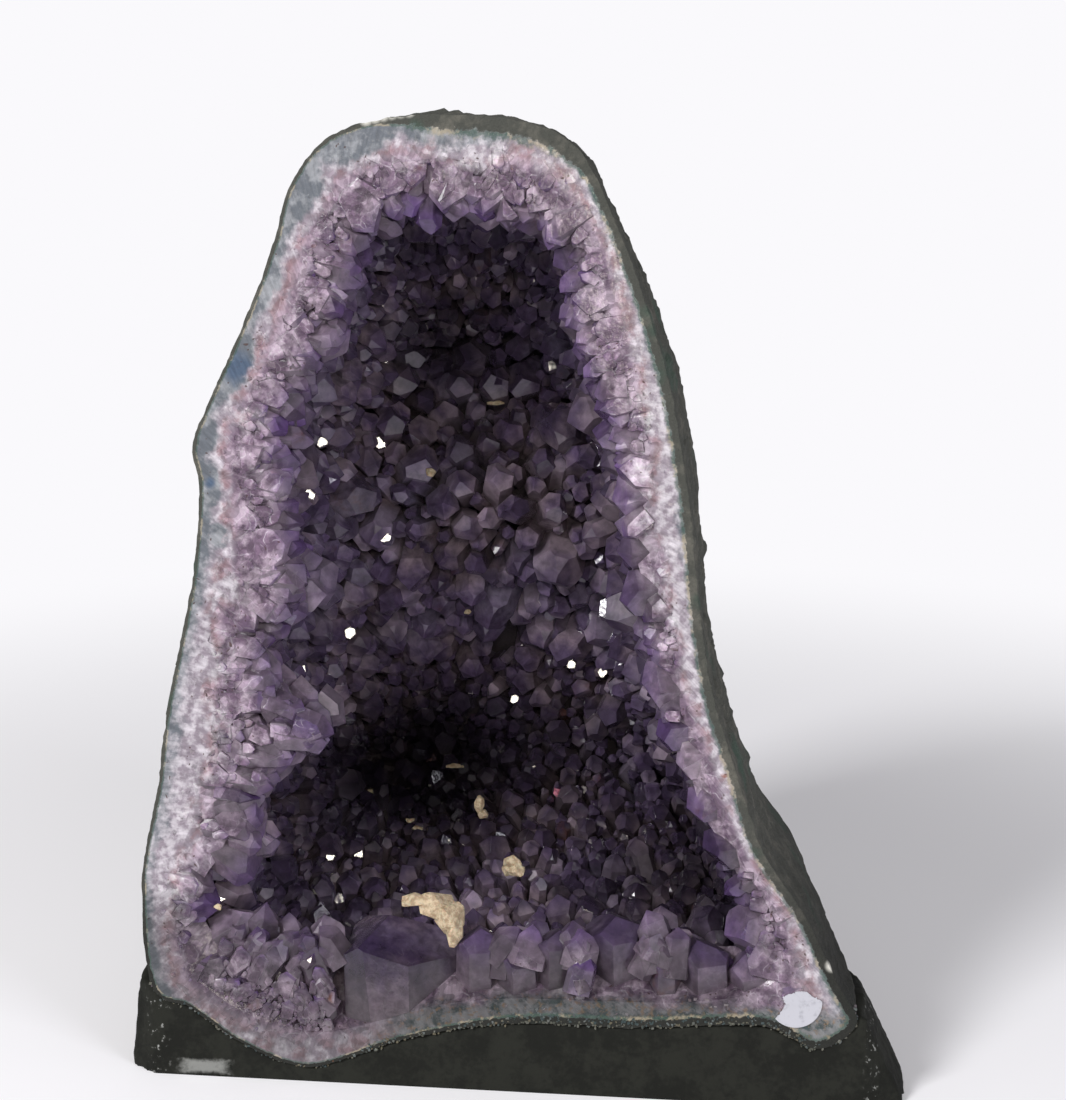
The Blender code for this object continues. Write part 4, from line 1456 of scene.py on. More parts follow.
@dataclass
class Label:
    """The torn round paper label. Lengths are in millimetres on the face."""

    centre: tuple[float, float] = (134.5, 51.5)
    radius: float = 12.5
    torn: tuple = ((9.6, 2.0), (4.4, 5.0), (1.4, 4.7), (-3.0, 3.3), (-5.6, 2.2), (-4.6, -0.8), (-5.6, -3.8))
    arc: tuple[float, float] = (-136, 4)
    proud: tuple[float, float] = (-0.75, -0.45)
    middle: tuple[float, float] = (1.5, -3.0)
    rings: int = 8
    rim_steps: int = 48
    tear_steps: int = 7
    ragged: float = 0.25
    seed: int = 3

    def outline(self) -> Array:
        """The label's edge: the part of the circle that is left, and the tear.

        Returns:
            The edge's points, as u and w from the middle.
        """
        angles = np.radians(np.linspace(*self.arc, self.rim_steps))
        rim = np.stack([np.cos(angles), np.sin(angles)], axis=1) * self.radius
        corners = np.vstack([rim[-1], np.array(self.torn), rim[0]])
        pieces = [np.linspace(a, b, self.tear_steps)[:-1] for a, b in zip(corners, corners[1:])]
        tear = np.vstack(pieces)[1:]
        return np.vstack([rim, tear + np.random.default_rng(self.seed).normal(0, self.ragged, tear.shape)])

    def build(self) -> None:
        """Makes the label as a thin closed sheet."""
        outline, middle = self.outline(), np.array(self.middle)
        rows = middle + (outline - middle) * np.linspace(1, 0, self.rings, endpoint=False)[:, None, None]
        curl = 0.04 * np.sin(rows[..., 0] * 0.5) * np.cos(rows[..., 1] * 0.4)
        u, w = rows[..., 0] + self.centre[0], rows[..., 1] + self.centre[1]
        sheets = [FORM.world(u, w, depth + curl).reshape(-1, 3) for depth in self.proud]
        count, around = len(sheets[0]), len(outline)
        poles = FORM.world(middle[0] + self.centre[0], middle[1] + self.centre[1], np.array(self.proud))
        at, after, quads = rings(self.rings, around)
        tops = np.stack([at[-1], after[-1], np.full(around, 2 * count)], axis=1)
        faces = quads[:, ::-1].tolist() + tops[:, ::-1].tolist()
        faces += (quads + count).tolist() + (tops + [count, count, 1]).tolist()
        faces += np.stack([at[0], after[0], after[0] + count, at[0] + count], axis=1).tolist()
        mesh = bpy.data.meshes.new("torn_label")
        mesh.from_pydata(np.vstack([*sheets, poles]), [], faces)
        working = bmesh.new()
        working.from_mesh(mesh)
        bmesh.ops.recalc_face_normals(working, faces=working.faces)
        working.to_mesh(mesh)
        working.free()
        Piece("torn_label", "white_paper", ("paper_label",)).settle(mesh, PAPER.material(), {})


@dataclass
class Grit:
    """The grit where the stone meets the cement: beige, then teal and grey, then pinkish quartz."""

    seed: int = 31
    count: int = 6800
    sizes: tuple[float, float] = (0.3, 0.85)
    larger: float = 0.6
    thin: float = 1.4
    thick: float = 11.0
    sunk: float = 1.4
    highest: float = 48
    strays: float = 0.6
    least_share: float = 0.15
    sides: int = 7

    def build(self) -> None:
        """Scatters the grit along the lower edge, more of it on the right of the large crystal."""
        rng = np.random.default_rng(self.seed)
        low = EDGE[EDGE[:, 1] < self.highest]
        places = low[rng.integers(0, len(low), self.count)] + rng.normal(0, self.strays, (self.count, 2))
        much = smooth(-85, -50, places[:, 0]) * smooth(155, 135, places[:, 0])
        kept = rng.random(self.count) < self.least_share + (1 - self.least_share) * much
        places, much = places[kept], much[kept]
        rise = rng.random(len(places)) ** 1.1
        places[:, 1] += rise * (self.thin + (self.thick - self.thin) * much)
        centres = FORM.world(*places.T, rng.uniform(0.1, 1.0, len(places)) + self.sunk * rise)
        sizes = rng.uniform(*self.sizes, (len(places), 1)) * rng.uniform(0.6, 1.0, (len(places), 3))
        sizes *= 1 + self.larger * (rise * much)[:, None]
        bodies = rubble(centres, sizes, rng, self.sides)
        made = Piece("joint_grit", "agate_and_rind")
        values = {"tone": rng.random(len(places))[bodies.owner], "rise": rise[bodies.owner]}
        made.settle(made.mesh_of(bodies), GRIT.material(), values)


def fresh(name: str) -> tuple[bpy.types.Material, Nodes, bpy.types.Node]:
    """Makes a new material.

    Args:
        name: Its name.

    Returns:
        The material, its nodes and the node that shades it.
    """
    made = bpy.data.materials.new(name)
    made.use_nodes = True
    return made, made.node_tree, made.node_tree.nodes["Principled BSDF"]


@dataclass(frozen=True)
class SawnBand:
    """The colours across the sawn band: blue-grey agate by the rind, white quartz, then lilac amethyst.

    The spots are places on the face, u and w, and how far each one reaches, in millimetres.
    """

    agate: str = "5E6269"
    pale_agate: str = "898B90"
    blue_agate: str = "48566A"
    quartz: str = "857B85"
    sugar: str = "BBB5BC"
    blush: str = "7A5A5E"
    lilac: str = "604F60"
    pale_lilac: str = "9A8A98"
    violet: str = "4E3F5E"
    speck: str = "43302D"
    rust: str = "7E4222"
    green_earth: str = "303D3D"
    ash: str = "686B6B"
    tan: str = "6E5C45"
    grain: float = 3.2
    agate_spots: tuple = (
        (-131, 342, 16), (-104, 424, 18), (-144, 288, 9), (-120, 385, 14), (-147, 310, 9), (-30, 452, 22),
        (-75, 446, 18), (-139, 262, 7),
    )
    blue_spots: tuple = ((-131, 342, 9), (-145, 288, 4))
    milky_spots: tuple = (
        (-165, 120, 26), (-158, 165, 28), (-150, 205, 18), (-166, 92, 20), (78, 240, 24), (70, 285, 26),
        (66, 325, 16), (86, 205, 12), (21, 52, 9), (-20, 446, 16), (-124, 318, 8), (-135, 236, 8),
    )
    rust_spots: tuple = (
        (-115, 297, 2.6), (63, 220, 2.4), (58, 196, 2.8), (80, 152, 2.6), (-86, 40, 2.6), (-31, 56, 2.6),
        (-36, 36, 3.4), (12, 44, 2.2), (-2, 434, 2.6), (100, 158, 2.4), (60, 52, 2.0), (-87, 60, 2.2),
        (62, 196, 2.6),
    )
    crack: tuple = ((-143, 404, 1.0), (-135, 402.5, 1.0), (-127, 401, 0.8))
    # Painted shade over the band's lower part: below 68 mm the colour is darkened to half, fading out by 104
    # mm high and towards the right end, from 104 to 128 mm across.
    painted_low_shade: tuple[float, float, float] = (68, 104, 0.50)
    painted_low_shade_ends: tuple[float, float] = (128, 104)

    def spots(self, tree: Nodes, place: Socket, spots: tuple) -> Socket:
        """How much a place belongs to one of the spots.

        Args:
            tree: The tree that it goes into.
            place: The place.
            spots: The spots.

        Returns:
            The share, from 0 to 1.
        """
        share = 0.0
        for u, w, reach in spots:
            middle = tuple(FORM.world(u, w, 0))
            away = add(tree, "VectorMath", {0: place, 1: middle}, "Value", operation="DISTANCE")
            limits = {"Value": away, 1: 1.25 * reach * MM, 2: 0.4 * reach * MM}
            near = add(tree, "MapRange", limits, **SOFT)
            share = add(tree, "Math", {0: share, 1: near}, operation="MAXIMUM")
        return share

    def joint(self, tree: Nodes, colour: Socket, place: Socket, across: Socket, height: Socket) -> Socket:
        """The colour with the green earth, ash and tan that lie along the cement, right of the large crystal.

        Args:
            tree: The tree that it goes into.
            colour: The colour without them.
            place: The place.
            across: Its X, wandering a little.
            height: Its Z, wandering too.

        Returns:
            The new colour.
        """
        lumps = {"Vector": place, "Scale": repeats(3.4), "Detail": 4.0, "Roughness": 0.65}
        lumps = add(tree, "TexNoise", lumps)
        crumbs = {"Vector": place, "Scale": repeats(1.5), "Detail": 3.0, "Roughness": 0.65}
        crumbs = add(tree, "TexNoise", crumbs)
        layers = (lumps, 0.40, 0.58, 1.0, self.ash), (crumbs, 0.52, 0.66, 1.0, self.tan)
        earth = over(tree, linear(self.green_earth), *layers)
        share = add(tree, "MapRange", {"Value": across, 1: -78 * MM, 2: -44 * MM}, **SOFT)
        top = add(tree, "MapRange", {"Value": across, 1: -60 * MM, 2: 0.0, 3: 37 * MM, 4: 48 * MM})
        above = add(tree, "Math", {0: height, 1: top}, operation="SUBTRACT")
        low = add(tree, "MapRange", {"Value": above, 1: 3 * MM, 2: -5 * MM, 4: share}, **SOFT)
        some = add(tree, "MapRange", {"Value": lumps, 1: 0.34, 2: 0.56, 3: 1.0, 4: 0.85}, **SOFT)
        low = add(tree, "Math", {0: low, 1: some}, operation="MULTIPLY")
        return add(tree, "Mix", {0: low, 6: colour, 7: earth}, 2, **RGBA)

    def colour(self, tree: Nodes) -> Socket:
        """The colour on the sawn face, by how far across the band it is.

        Args:
            tree: The tree that it goes into.

        Returns:
            The colour.
        """
        place = add(tree, "TexCoord", out="Object")
        clouds = {"Vector": place, "Scale": repeats(5), "Detail": 4.0, "Roughness": 0.6}
        clouds = add(tree, "TexNoise", clouds)
        crumbs = {"Vector": place, "Scale": repeats(2.2), "Detail": 4.0, "Roughness": 0.55}
        crumbs = add(tree, "TexNoise", crumbs)
        drift = add(tree, "TexNoise", {"Vector": place, "Scale": repeats(7), "Detail": 2.0}, "Color")
        drift = add(tree, "VectorMath", {0: drift, 1: (0.5, 0.5, 0.5)}, operation="SUBTRACT")
        drift = add(tree, "VectorMath", {0: drift, "Scale": 14 * MM}, operation="SCALE")
        wandering = add(tree, "VectorMath", {0: place, 1: drift}, operation="ADD")
        band = add(tree, "Attribute", out="Fac", attribute_name="band")
        band = add(tree, "Math", {0: clouds, 1: 0.34, 2: band}, operation="MULTIPLY_ADD")
        band = add(tree, "Math", {0: crumbs, 1: 0.10, 2: band}, operation="MULTIPLY_ADD")
        cloudy = add(tree, "MapRange", {"Value": clouds, 1: 0.42, 2: 0.62}, **SOFT)
        sugary = add(tree, "MapRange", {"Value": crumbs, 1: 0.38, 2: 0.70}, **SOFT)
        milky = self.spots(tree, wandering, self.milky_spots)
        agate = add(tree, "Mix", {0: cloudy, 6: linear(self.agate), 7: linear(self.pale_agate)}, 2, **RGBA)
        blue = self.spots(tree, wandering, self.blue_spots)
        agate = add(tree, "Mix", {0: blue, 6: agate, 7: linear(self.blue_agate)}, 2, **RGBA)
        quartz = add(tree, "Mix", {0: sugary, 6: linear(self.quartz), 7: linear(self.sugar)}, 2, **RGBA)
        lilac = add(tree, "Mix", {0: cloudy, 6: linear(self.lilac), 7: linear(self.pale_lilac)}, 2, **RGBA)
        wide = self.spots(tree, wandering, self.agate_spots)
        thin = add(tree, "Math", {0: wide, 1: -0.17, 2: band}, operation="MULTIPLY_ADD")
        white = add(tree, "Math", {0: milky, 1: 0.16, 2: -0.03}, operation="MULTIPLY_ADD")
        later = add(tree, "Math", {0: band, 1: white}, operation="SUBTRACT")
        later = add(tree, "Math", {0: wide, 1: -0.08, 2: later}, operation="MULTIPLY_ADD")
        share = add(tree, "MapRange", {"Value": thin, 1: 0.30, 2: 0.42}, **SOFT)
        colour = add(tree, "Mix", {0: share, 6: agate, 7: quartz}, 2, **RGBA)
        share = add(tree, "MapRange", {"Value": later, 1: 0.48, 2: 0.66}, **SOFT)
        colour = add(tree, "Mix", {0: share, 6: colour, 7: lilac}, 2, **RGBA)
        edge = add(tree, "MapRange", {"Value": later, 1: 0.42, 2: 0.54}, **SOFT)
        edge = add(tree, "MapRange", {"Value": later, 1: 0.70, 2: 0.54, 3: 0.0, 4: edge}, **SOFT)
        blush = add(tree, "Math", {0: edge, 1: cloudy}, operation="MULTIPLY")
        blush = add(tree, "Math", {0: blush, 1: 0.7}, operation="MULTIPLY")
        colour = add(tree, "Mix", {0: blush, 6: colour, 7: linear(self.blush)}, 2, **RGBA)
        colour = over(tree, colour, (later, 0.95, 1.28, 1.0, self.violet))
        cells = {"Vector": wandering, "Scale": 1 / (9 * MM)}
        seams = add(tree, "TexVoronoi", cells, "Distance", feature="DISTANCE_TO_EDGE")
        seams = add(tree, "MapRange", {"Value": seams, 1: 0.045, 2: 0.0, 4: 0.45}, **SOFT)
        grown = add(tree, "MapRange", {"Value": later, 1: 0.40, 2: 0.55}, **SOFT)
        for factor in (sugary, grown):
            seams = add(tree, "Math", {0: seams, 1: factor}, operation="MULTIPLY")
        colour = add(tree, "Mix", {0: seams, 6: colour, 7: linear(self.sugar)}, 2, **RGBA)
        share = add(tree, "Math", {0: milky, 1: sugary}, operation="MULTIPLY")
        share = add(tree, "Math", {0: share, 1: 0.6}, operation="MULTIPLY")
        colour = add(tree, "Mix", {0: share, 6: colour, 7: linear(self.sugar)}, 2, **RGBA)
        cells = {"Vector": wandering, "Scale": 1 / (self.grain * MM)}
        grains = add(tree, "SeparateColor", {0: add(tree, "TexVoronoi", cells, "Color")})
        grains = add(tree, "MapRange", {"Value": grains, 3: 0.74, 4: 1.30})
        grains = add(tree, "Mix", {0: grown, 2: 1.0, 3: grains})
        colour = add(tree, "Mix", {0: 1.0, 6: colour, 7: grains}, 2, blend_type="MULTIPLY", **RGBA)
        specks = add(tree, "TexVoronoi", {"Vector": wandering, "Scale": 1 / (3.4 * MM)}, "Distance")
        specks = add(tree, "MapRange", {"Value": specks, 1: 0.22, 2: 0.10}, **SOFT)
        where = add(tree, "TexNoise", {"Vector": place, "Scale": repeats(9), "Detail": 1.0})
        where = add(tree, "MapRange", {"Value": where, 1: 0.50, 2: 0.60, 4: 0.85}, **SOFT)
        specks = add(tree, "Math", {0: specks, 1: where}, operation="MULTIPLY")
        cracked = self.spots(tree, place, self.crack)
        specks = add(tree, "Math", {0: specks, 1: cracked}, operation="MAXIMUM")
        colour = add(tree, "Mix", {0: specks, 6: colour, 7: linear(self.speck)}, 2, **RGBA)
        rusty = self.spots(tree, wandering, self.rust_spots)
        grainy = add(tree, "MapRange", {"Value": crumbs, 1: 0.36, 2: 0.60, 4: 0.85}, **SOFT)
        rusty = add(tree, "Math", {0: rusty, 1: grainy}, operation="MULTIPLY")
        colour = add(tree, "Mix", {0: rusty, 6: colour, 7: linear(self.rust)}, 2, **RGBA)
        across, height = (add(tree, "SeparateXYZ", {0: wandering}, way) for way in ("X", "Z"))
        colour = self.joint(tree, colour, place, across, height)
        # Painted shade: the band's colour darkened towards the bottom
        low, high, least = self.painted_low_shade
        start, full = self.painted_low_shade_ends
        ends = add(tree, "MapRange", {"Value": across, 1: start * MM, 2: full * MM, 3: 1.0, 4: least})
        painted_low_shade = add(tree, "MapRange", {"Value": height, 1: low * MM, 2: high * MM, 3: ends, 4: 1.0}, **SOFT)
        return add(tree, "Mix", {0: 1.0, 6: colour, 7: painted_low_shade}, 2, blend_type="MULTIPLY", **RGBA)


@dataclass(frozen=True)
class Amethyst:
    """Amethyst, grown and in part sawn: clear violet points on milky roots, with glassy faces.

    The eye sees pale veils and the colour gathered in the points, and brown iron in the joints. Each face is
    made a little lighter or darker at random as painted shade and light, each grown crystal darker low down
    as painted shade and lighter at its point as painted light, and spots of the hollow darker as painted
    shade.
    """

    body: str = "7C6D7C"
    point: str = "4C3B5C"
    vivid: str = "4B3566"
    milky: str = "8F828A"
    own_root: str = "574C54"
    own_point: str = "2B203A"
    deep_point: str = "3F3449"
    deep_body: str = "786972"
    deep_cool: str = "675E73"
    deep_pale: str = "938390"
    iron: str = "5E3A2E"
    ior: float = 1.544
    worn_edge: float = 0.5
    clear: float = 0.30
    subsurface: float = 0.30
    depths: tuple[float, float] = (5.0, 28.0)

    def share_out(self, mesh: bpy.types.Mesh) -> None:
        """Gives the faces that lie deep a finish without the sawn band, which doesn't show there.

        Args:
            mesh: The mesh, whose vertices know how deep they are.
        """
        deep = np.empty(len(mesh.vertices), dtype=np.float32)
        mesh.attributes["deep"].data.foreach_get("value", deep)
        corners, starts = (np.empty(len(group), dtype=np.int32) for group in (mesh.loops, mesh.polygons))
        mesh.loops.foreach_get("vertex_index", corners)
        mesh.polygons.foreach_get("loop_start", starts)
        least = np.minimum.reduceat(deep[corners], starts)
        mesh.materials.append(self.material(inner=True))
        mesh.polygons.foreach_set("material_index", (least >= self.depths[1]).astype(np.int32))

    def sunlit(self, tree: Nodes, violet: Socket, grown: Socket) -> Socket:
        """The colour near the sawn face, where the section's bands go on into the crystals.

        Args:
            tree: The tree that it goes into.
            violet: How violet the crystal is here.
            grown: How far up the crystal this is.

        Returns:
            The colour.
        """
        names = ("milk", "own", "sawn")
        milk, own, sawn = (add(tree, "Attribute", out="Fac", attribute_name=name) for name in names)
        section = SAWN_BAND.colour(tree)
        cut_violet = add(tree, "Math", {0: violet, 1: 0.45}, operation="MULTIPLY")
        cut = add(tree, "Mix", {0: cut_violet, 6: section, 7: linear(self.point)}, 2, **RGBA)
        body = add(tree, "Mix", {0: 0.5, 6: section, 7: linear(self.body)}, 2, **RGBA)
        whole = add(tree, "Mix", {0: violet, 6: body, 7: linear(self.point)}, 2, **RGBA)
        sunny = add(tree, "Mix", {0: sawn, 6: whole, 7: cut}, 2, **RGBA)
        sunny = over(tree, sunny, (milk, 0.75, 1.0, 0.4, self.milky), (milk, 0.03, 0.0, 0.3, self.vivid))
        itself = over(tree, linear(self.own_root), (grown, 0.32, 0.88, 1.0, self.own_point))
        itself = add(tree, "Mix", {0: 0.2, 6: itself, 7: section}, 2, **RGBA)
        return add(tree, "Mix", {0: own, 6: sunny, 7: itself}, 2, **RGBA)

    def material(self, inner: bool = False) -> bpy.types.Material:
        """The finish, made once.

        Args:
            inner: Whether it is for faces that lie deep.

        Returns:
            The material.
        """
        label = "amethyst_depths" if inner else "amethyst_points"
        if label in bpy.data.materials:
            return bpy.data.materials[label]
        made, tree, shader = fresh(label)
        names = ("rise", "milk", "stain", "tone", "painted_hollow_shade", "sawn", "painted_facet_shade")
        rise, milk, stain, tone, painted_hollow_shade, sawn, painted_facet_shade = (
            add(tree, "Attribute", out="Fac", attribute_name=name) for name in names
        )
        place = add(tree, "TexCoord", out="Object")
        veils = add(tree, "TexNoise", {"Vector": place, "Scale": repeats(4), "Detail": 4.0})
        grown = add(tree, "Math", {0: veils, 1: 0.55, 2: rise}, operation="MULTIPLY_ADD")
        grown = add(tree, "Math", {0: milk, 1: -0.35, 2: grown}, operation="MULTIPLY_ADD")
        violet = add(tree, "MapRange", {"Value": grown, 1: 0.60, 2: 1.15}, **SOFT)
        cool = add(tree, "TexNoise", {"Vector": place, "Scale": repeats(30), "Detail": 1.0})
        pale = over(tree, linear(self.deep_body), (cool, 0.42, 0.58, 1.0, self.deep_cool))
        pale = add(tree, "Mix", {0: milk, 6: pale, 7: linear(self.deep_pale)}, 2, **RGBA)
        colour = add(tree, "Mix", {0: violet, 6: pale, 7: linear(self.deep_point)}, 2, **RGBA)
        if not inner:
            deep = add(tree, "Attribute", out="Fac", attribute_name="deep")
            share = add(tree, "MapRange", {"Value": deep, 1: self.depths[0], 2: self.depths[1]}, **SOFT)
            sunny = self.sunlit(tree, violet, grown)
            colour = add(tree, "Mix", {0: share, 6: sunny, 7: colour}, 2, **RGBA)
        # Painted shade and light: each face lighter or darker at random, less so on sawn faces
        least = add(tree, "MapRange", {"Value": sawn, 3: 0.76, 4: 0.88})
        most = add(tree, "MapRange", {"Value": sawn, 3: 1.26, 4: 1.14})
        light = add(tree, "MapRange", {"Value": painted_facet_shade, 3: least, 4: most})
        least = add(tree, "MapRange", {"Value": sawn, 3: 0.72, 4: 0.76})
        most = add(tree, "MapRange", {"Value": sawn, 3: 1.30, 4: 1.26})
        own_light = add(tree, "MapRange", {"Value": tone, 3: least, 4: most})
        # Painted shade from the hollow's spots, and painted light where their amount is below zero
        unlit = add(tree, "MapRange", {"Value": painted_hollow_shade, 3: 1.0, 4: 0.12}, clamp=False)
        wisps = {"Vector": place, "Scale": repeats(2.8), "Detail": 5.0, "Roughness": 0.6, "Distortion": 0.4}
        wisps = add(tree, "TexNoise", wisps)
        wisps = add(tree, "MapRange", {"Value": wisps, 1: 0.32, 2: 0.68, 3: 0.90, 4: 1.95})
        # Painted shade low on each grown crystal, between their roots, and painted light towards its point
        painted_root_shade = add(tree, "MapRange", {"Value": rise, 1: 0.45, 2: 0.85, 3: 0.62, 4: 1.12}, **SOFT)
        painted_root_shade = add(tree, "MapRange", {"Value": sawn, 3: painted_root_shade, 4: 1.0})
        for factor in (own_light, unlit, wisps, painted_root_shade):
            light = add(tree, "Math", {0: light, 1: factor}, operation="MULTIPLY")
        colour = add(tree, "Mix", {0: 1.0, 6: colour, 7: light}, 2, blend_type="MULTIPLY", **RGBA)
        patches = add(tree, "TexNoise", {"Vector": place, "Scale": repeats(2.4), "Detail": 3.0})
        rust = add(tree, "Math", {0: patches, 1: stain}, operation="MULTIPLY")
        colour = over(tree, colour, (rust, 0.25, 0.5, 0.8, self.iron))
        dull = add(tree, "MapRange", {"Value": milk, 1: 0.06, 2: 0.35, 3: 0.08, 4: 0.30}, **SOFT)
        dull = add(tree, "MapRange", {"Value": sawn, 3: dull, 4: 0.24})
        sugar = add(tree, "TexNoise", {"Vector": place, "Scale": repeats(0.9), "Detail": 3.0})
        height = add(tree, "MapRange", {"Value": sawn, 3: 0.12, 4: 0.60})
        worn = add(tree, "Bevel", {"Radius": self.worn_edge * MM}, samples=2)
        bumps = add(tree, "Bump", {"Height": sugar, "Strength": height, "Distance": 0.6 * MM, "Normal": worn})
        surface = {"Base Color": colour, "Roughness": dull, "Normal": bumps, "IOR": self.ior}
        surface |= {"Transmission Weight": self.clear, "Subsurface Weight": self.subsurface}
        surface |= {"Subsurface Radius": (1.0, 0.7, 1.0), "Subsurface Scale": 3 * MM}
        feed(tree, shader, surface)
        return made


@dataclass(frozen=True)
class AgateAndRind:
    """Weathered basalt rind, dark and rough, round sawn agate that has the dull gloss of a polished stone."""

    rind: str = "3F403B"
    rind_light: str = "595750"
    celadonite: str = "2F4A3E"
    beige: str = "9A8F78"
    chip: str = "C6C4BC"
    # Near-black that the rind's lower part turns to, as painted shade towards the foot, between the heights
    # given below in mm
    paint: str = "141511"
    # The hollow's wall behind the crystals, near-black violet as painted shade where it shows between their
    # roots
    cave: str = "2B2329"
    painted_shade_below: tuple[float, float] = (135, 50)
    ior: float = 1.544
    chips: tuple = (
        (151, 69, 3.2), (-71, 457, 3.2), (-67, 458.2, 3.2), (-63, 459.2, 3.2), (-59, 460, 3.2),
        (-55, 460.6, 3.2), (-51, 461, 3.2),
    )

    def material(self) -> bpy.types.Material:
        """Makes the finish.

        Returns:
            The material.
        """
        made, tree, shader = fresh("basalt_rind_and_sawn_agate")
        place = add(tree, "TexCoord", out="Object")
        names = ("run", "inset", "face", "rind", "inner_wall")
        run, inset, face, width, inner = (
            add(tree, "Attribute", out="Fac", attribute_name=name) for name in names
        )
        sawn = SAWN_BAND.colour(tree)
        along = add(tree, "Math", {0: inset, 1: 0.25}, operation="MULTIPLY")
        along = add(tree, "CombineXYZ", {0: run, 1: along})
        streaks = add(tree, "TexNoise", {"Vector": along, "Scale": 0.5, "Detail": 3.0})
        streaks = add(tree, "MapRange", {"Value": streaks, 1: 0.3, 2: 0.7, 3: 0.80, 4: 1.22})
        sawn = add(tree, "Mix", {0: 1.0, 6: sawn, 7: streaks}, 2, blend_type="MULTIPLY", **RGBA)
        patches = {"Vector": place, "Scale": repeats(6), "Detail": 5.0, "Roughness": 0.65}
        patches = add(tree, "TexNoise", patches)
        green = add(tree, "TexNoise", {"Vector": place, "Scale": repeats(14), "Detail": 3.0})
        height = add(tree, "SeparateXYZ", {0: place}, "Z")
        # Painted shade: from 135 mm down to 50 mm high the rind turns nearly all near-black
        high, low = (w * MM for w in self.painted_shade_below)
        layers = (patches, 0.46, 0.70, 1.0, self.rind_light), (green, 0.56, 0.70, 0.6, self.celadonite)
        rough = over(tree, linear(self.rind), *layers, (height, high, low, 0.88, self.paint))
        chips = SAWN_BAND.spots(tree, place, self.chips)
        rough = add(tree, "Mix", {0: chips, 6: rough, 7: linear(self.chip)}, 2, **RGBA)
        crumbs = {"Vector": place, "Scale": repeats(1.6), "Detail": 4.0, "Roughness": 0.7}
        crumbs = add(tree, "TexNoise", crumbs)
        ragged = add(tree, "Math", {0: crumbs, 1: 1.3, 2: width}, operation="MULTIPLY_ADD")
        in_agate = add(tree, "MapRange", {"Value": ragged, 1: 1.55, 2: 1.75}, **SOFT)
        specks = add(tree, "MapRange", {"Value": ragged, 1: 1.5, 2: 1.7}, **SOFT)
        specks = add(tree, "MapRange", {"Value": ragged, 1: 2.3, 2: 1.8, 3: 0.0, 4: specks}, **SOFT)
        speckled = add(tree, "MapRange", {"Value": patches, 1: 0.5, 2: 0.6}, **SOFT)
        earth = add(tree, "Mix", {0: speckled, 6: linear(self.celadonite), 7: linear(self.beige)}, 2, **RGBA)
        specks = add(tree, "Math", {0: specks, 1: 0.7}, operation="MULTIPLY")
        sawn = add(tree, "Mix", {0: specks, 6: sawn, 7: earth}, 2, **RGBA)
        sawn = add(tree, "Mix", {0: in_agate, 6: rough, 7: sawn}, 2, **RGBA)
        colour = add(tree, "Mix", {0: face, 6: rough, 7: sawn}, 2, **RGBA)
        # Painted shade: the hollow's wall behind the crystals is near-black
        colour = add(tree, "Mix", {0: inner, 6: colour, 7: linear(self.cave)}, 2, **RGBA)
        polish = add(tree, "Math", {0: face, 1: in_agate}, operation="MULTIPLY")
        dull = add(tree, "MapRange", {"Value": polish, 3: 0.95, 4: 0.25})
        grain = add(tree, "TexNoise", {"Vector": place, "Scale": repeats(0.9), "Detail": 4.0})
        strength = add(tree, "MapRange", {"Value": polish, 3: 1.0, 4: 0.25})
        bumps = add(tree, "Bump", {"Height": grain, "Strength": strength, "Distance": 1.2 * MM})
        feed(tree, shader, {"Base Color": colour, "Roughness": dull, "Normal": bumps, "IOR": self.ior})
        return made


@dataclass(frozen=True)
class Calcite:
    """Calcite, broken and earthy: a dull crumb that scatters the light."""

    name: str = "earthy_calcite"
    light: str = "CDBB9E"
    dark: str = "A18C72"

    def material(self) -> bpy.types.Material:
        """Makes the finish, once.

        Returns:
            The material.
        """
        if self.name in bpy.data.materials:
            return bpy.data.materials[self.name]
        made, tree, shader = fresh(self.name)
        place = add(tree, "TexCoord", out="Object")
        crumbs = {"Vector": place, "Scale": repeats(1.2), "Detail": 5.0, "Roughness": 0.7}
        crumbs = add(tree, "TexNoise", crumbs)
        colour = over(tree, linear(self.dark), (crumbs, 0.38, 0.62, 1.0, self.light))
        bumps = add(tree, "Bump", {"Height": crumbs, "Strength": 0.8, "Distance": 1.5 * MM})
        surface = {"Base Color": colour, "Normal": bumps, "Roughness": 0.8}
        feed(tree, shader, surface | {"Subsurface Weight": 0.2, "Subsurface Scale": 2 * MM})
        return made


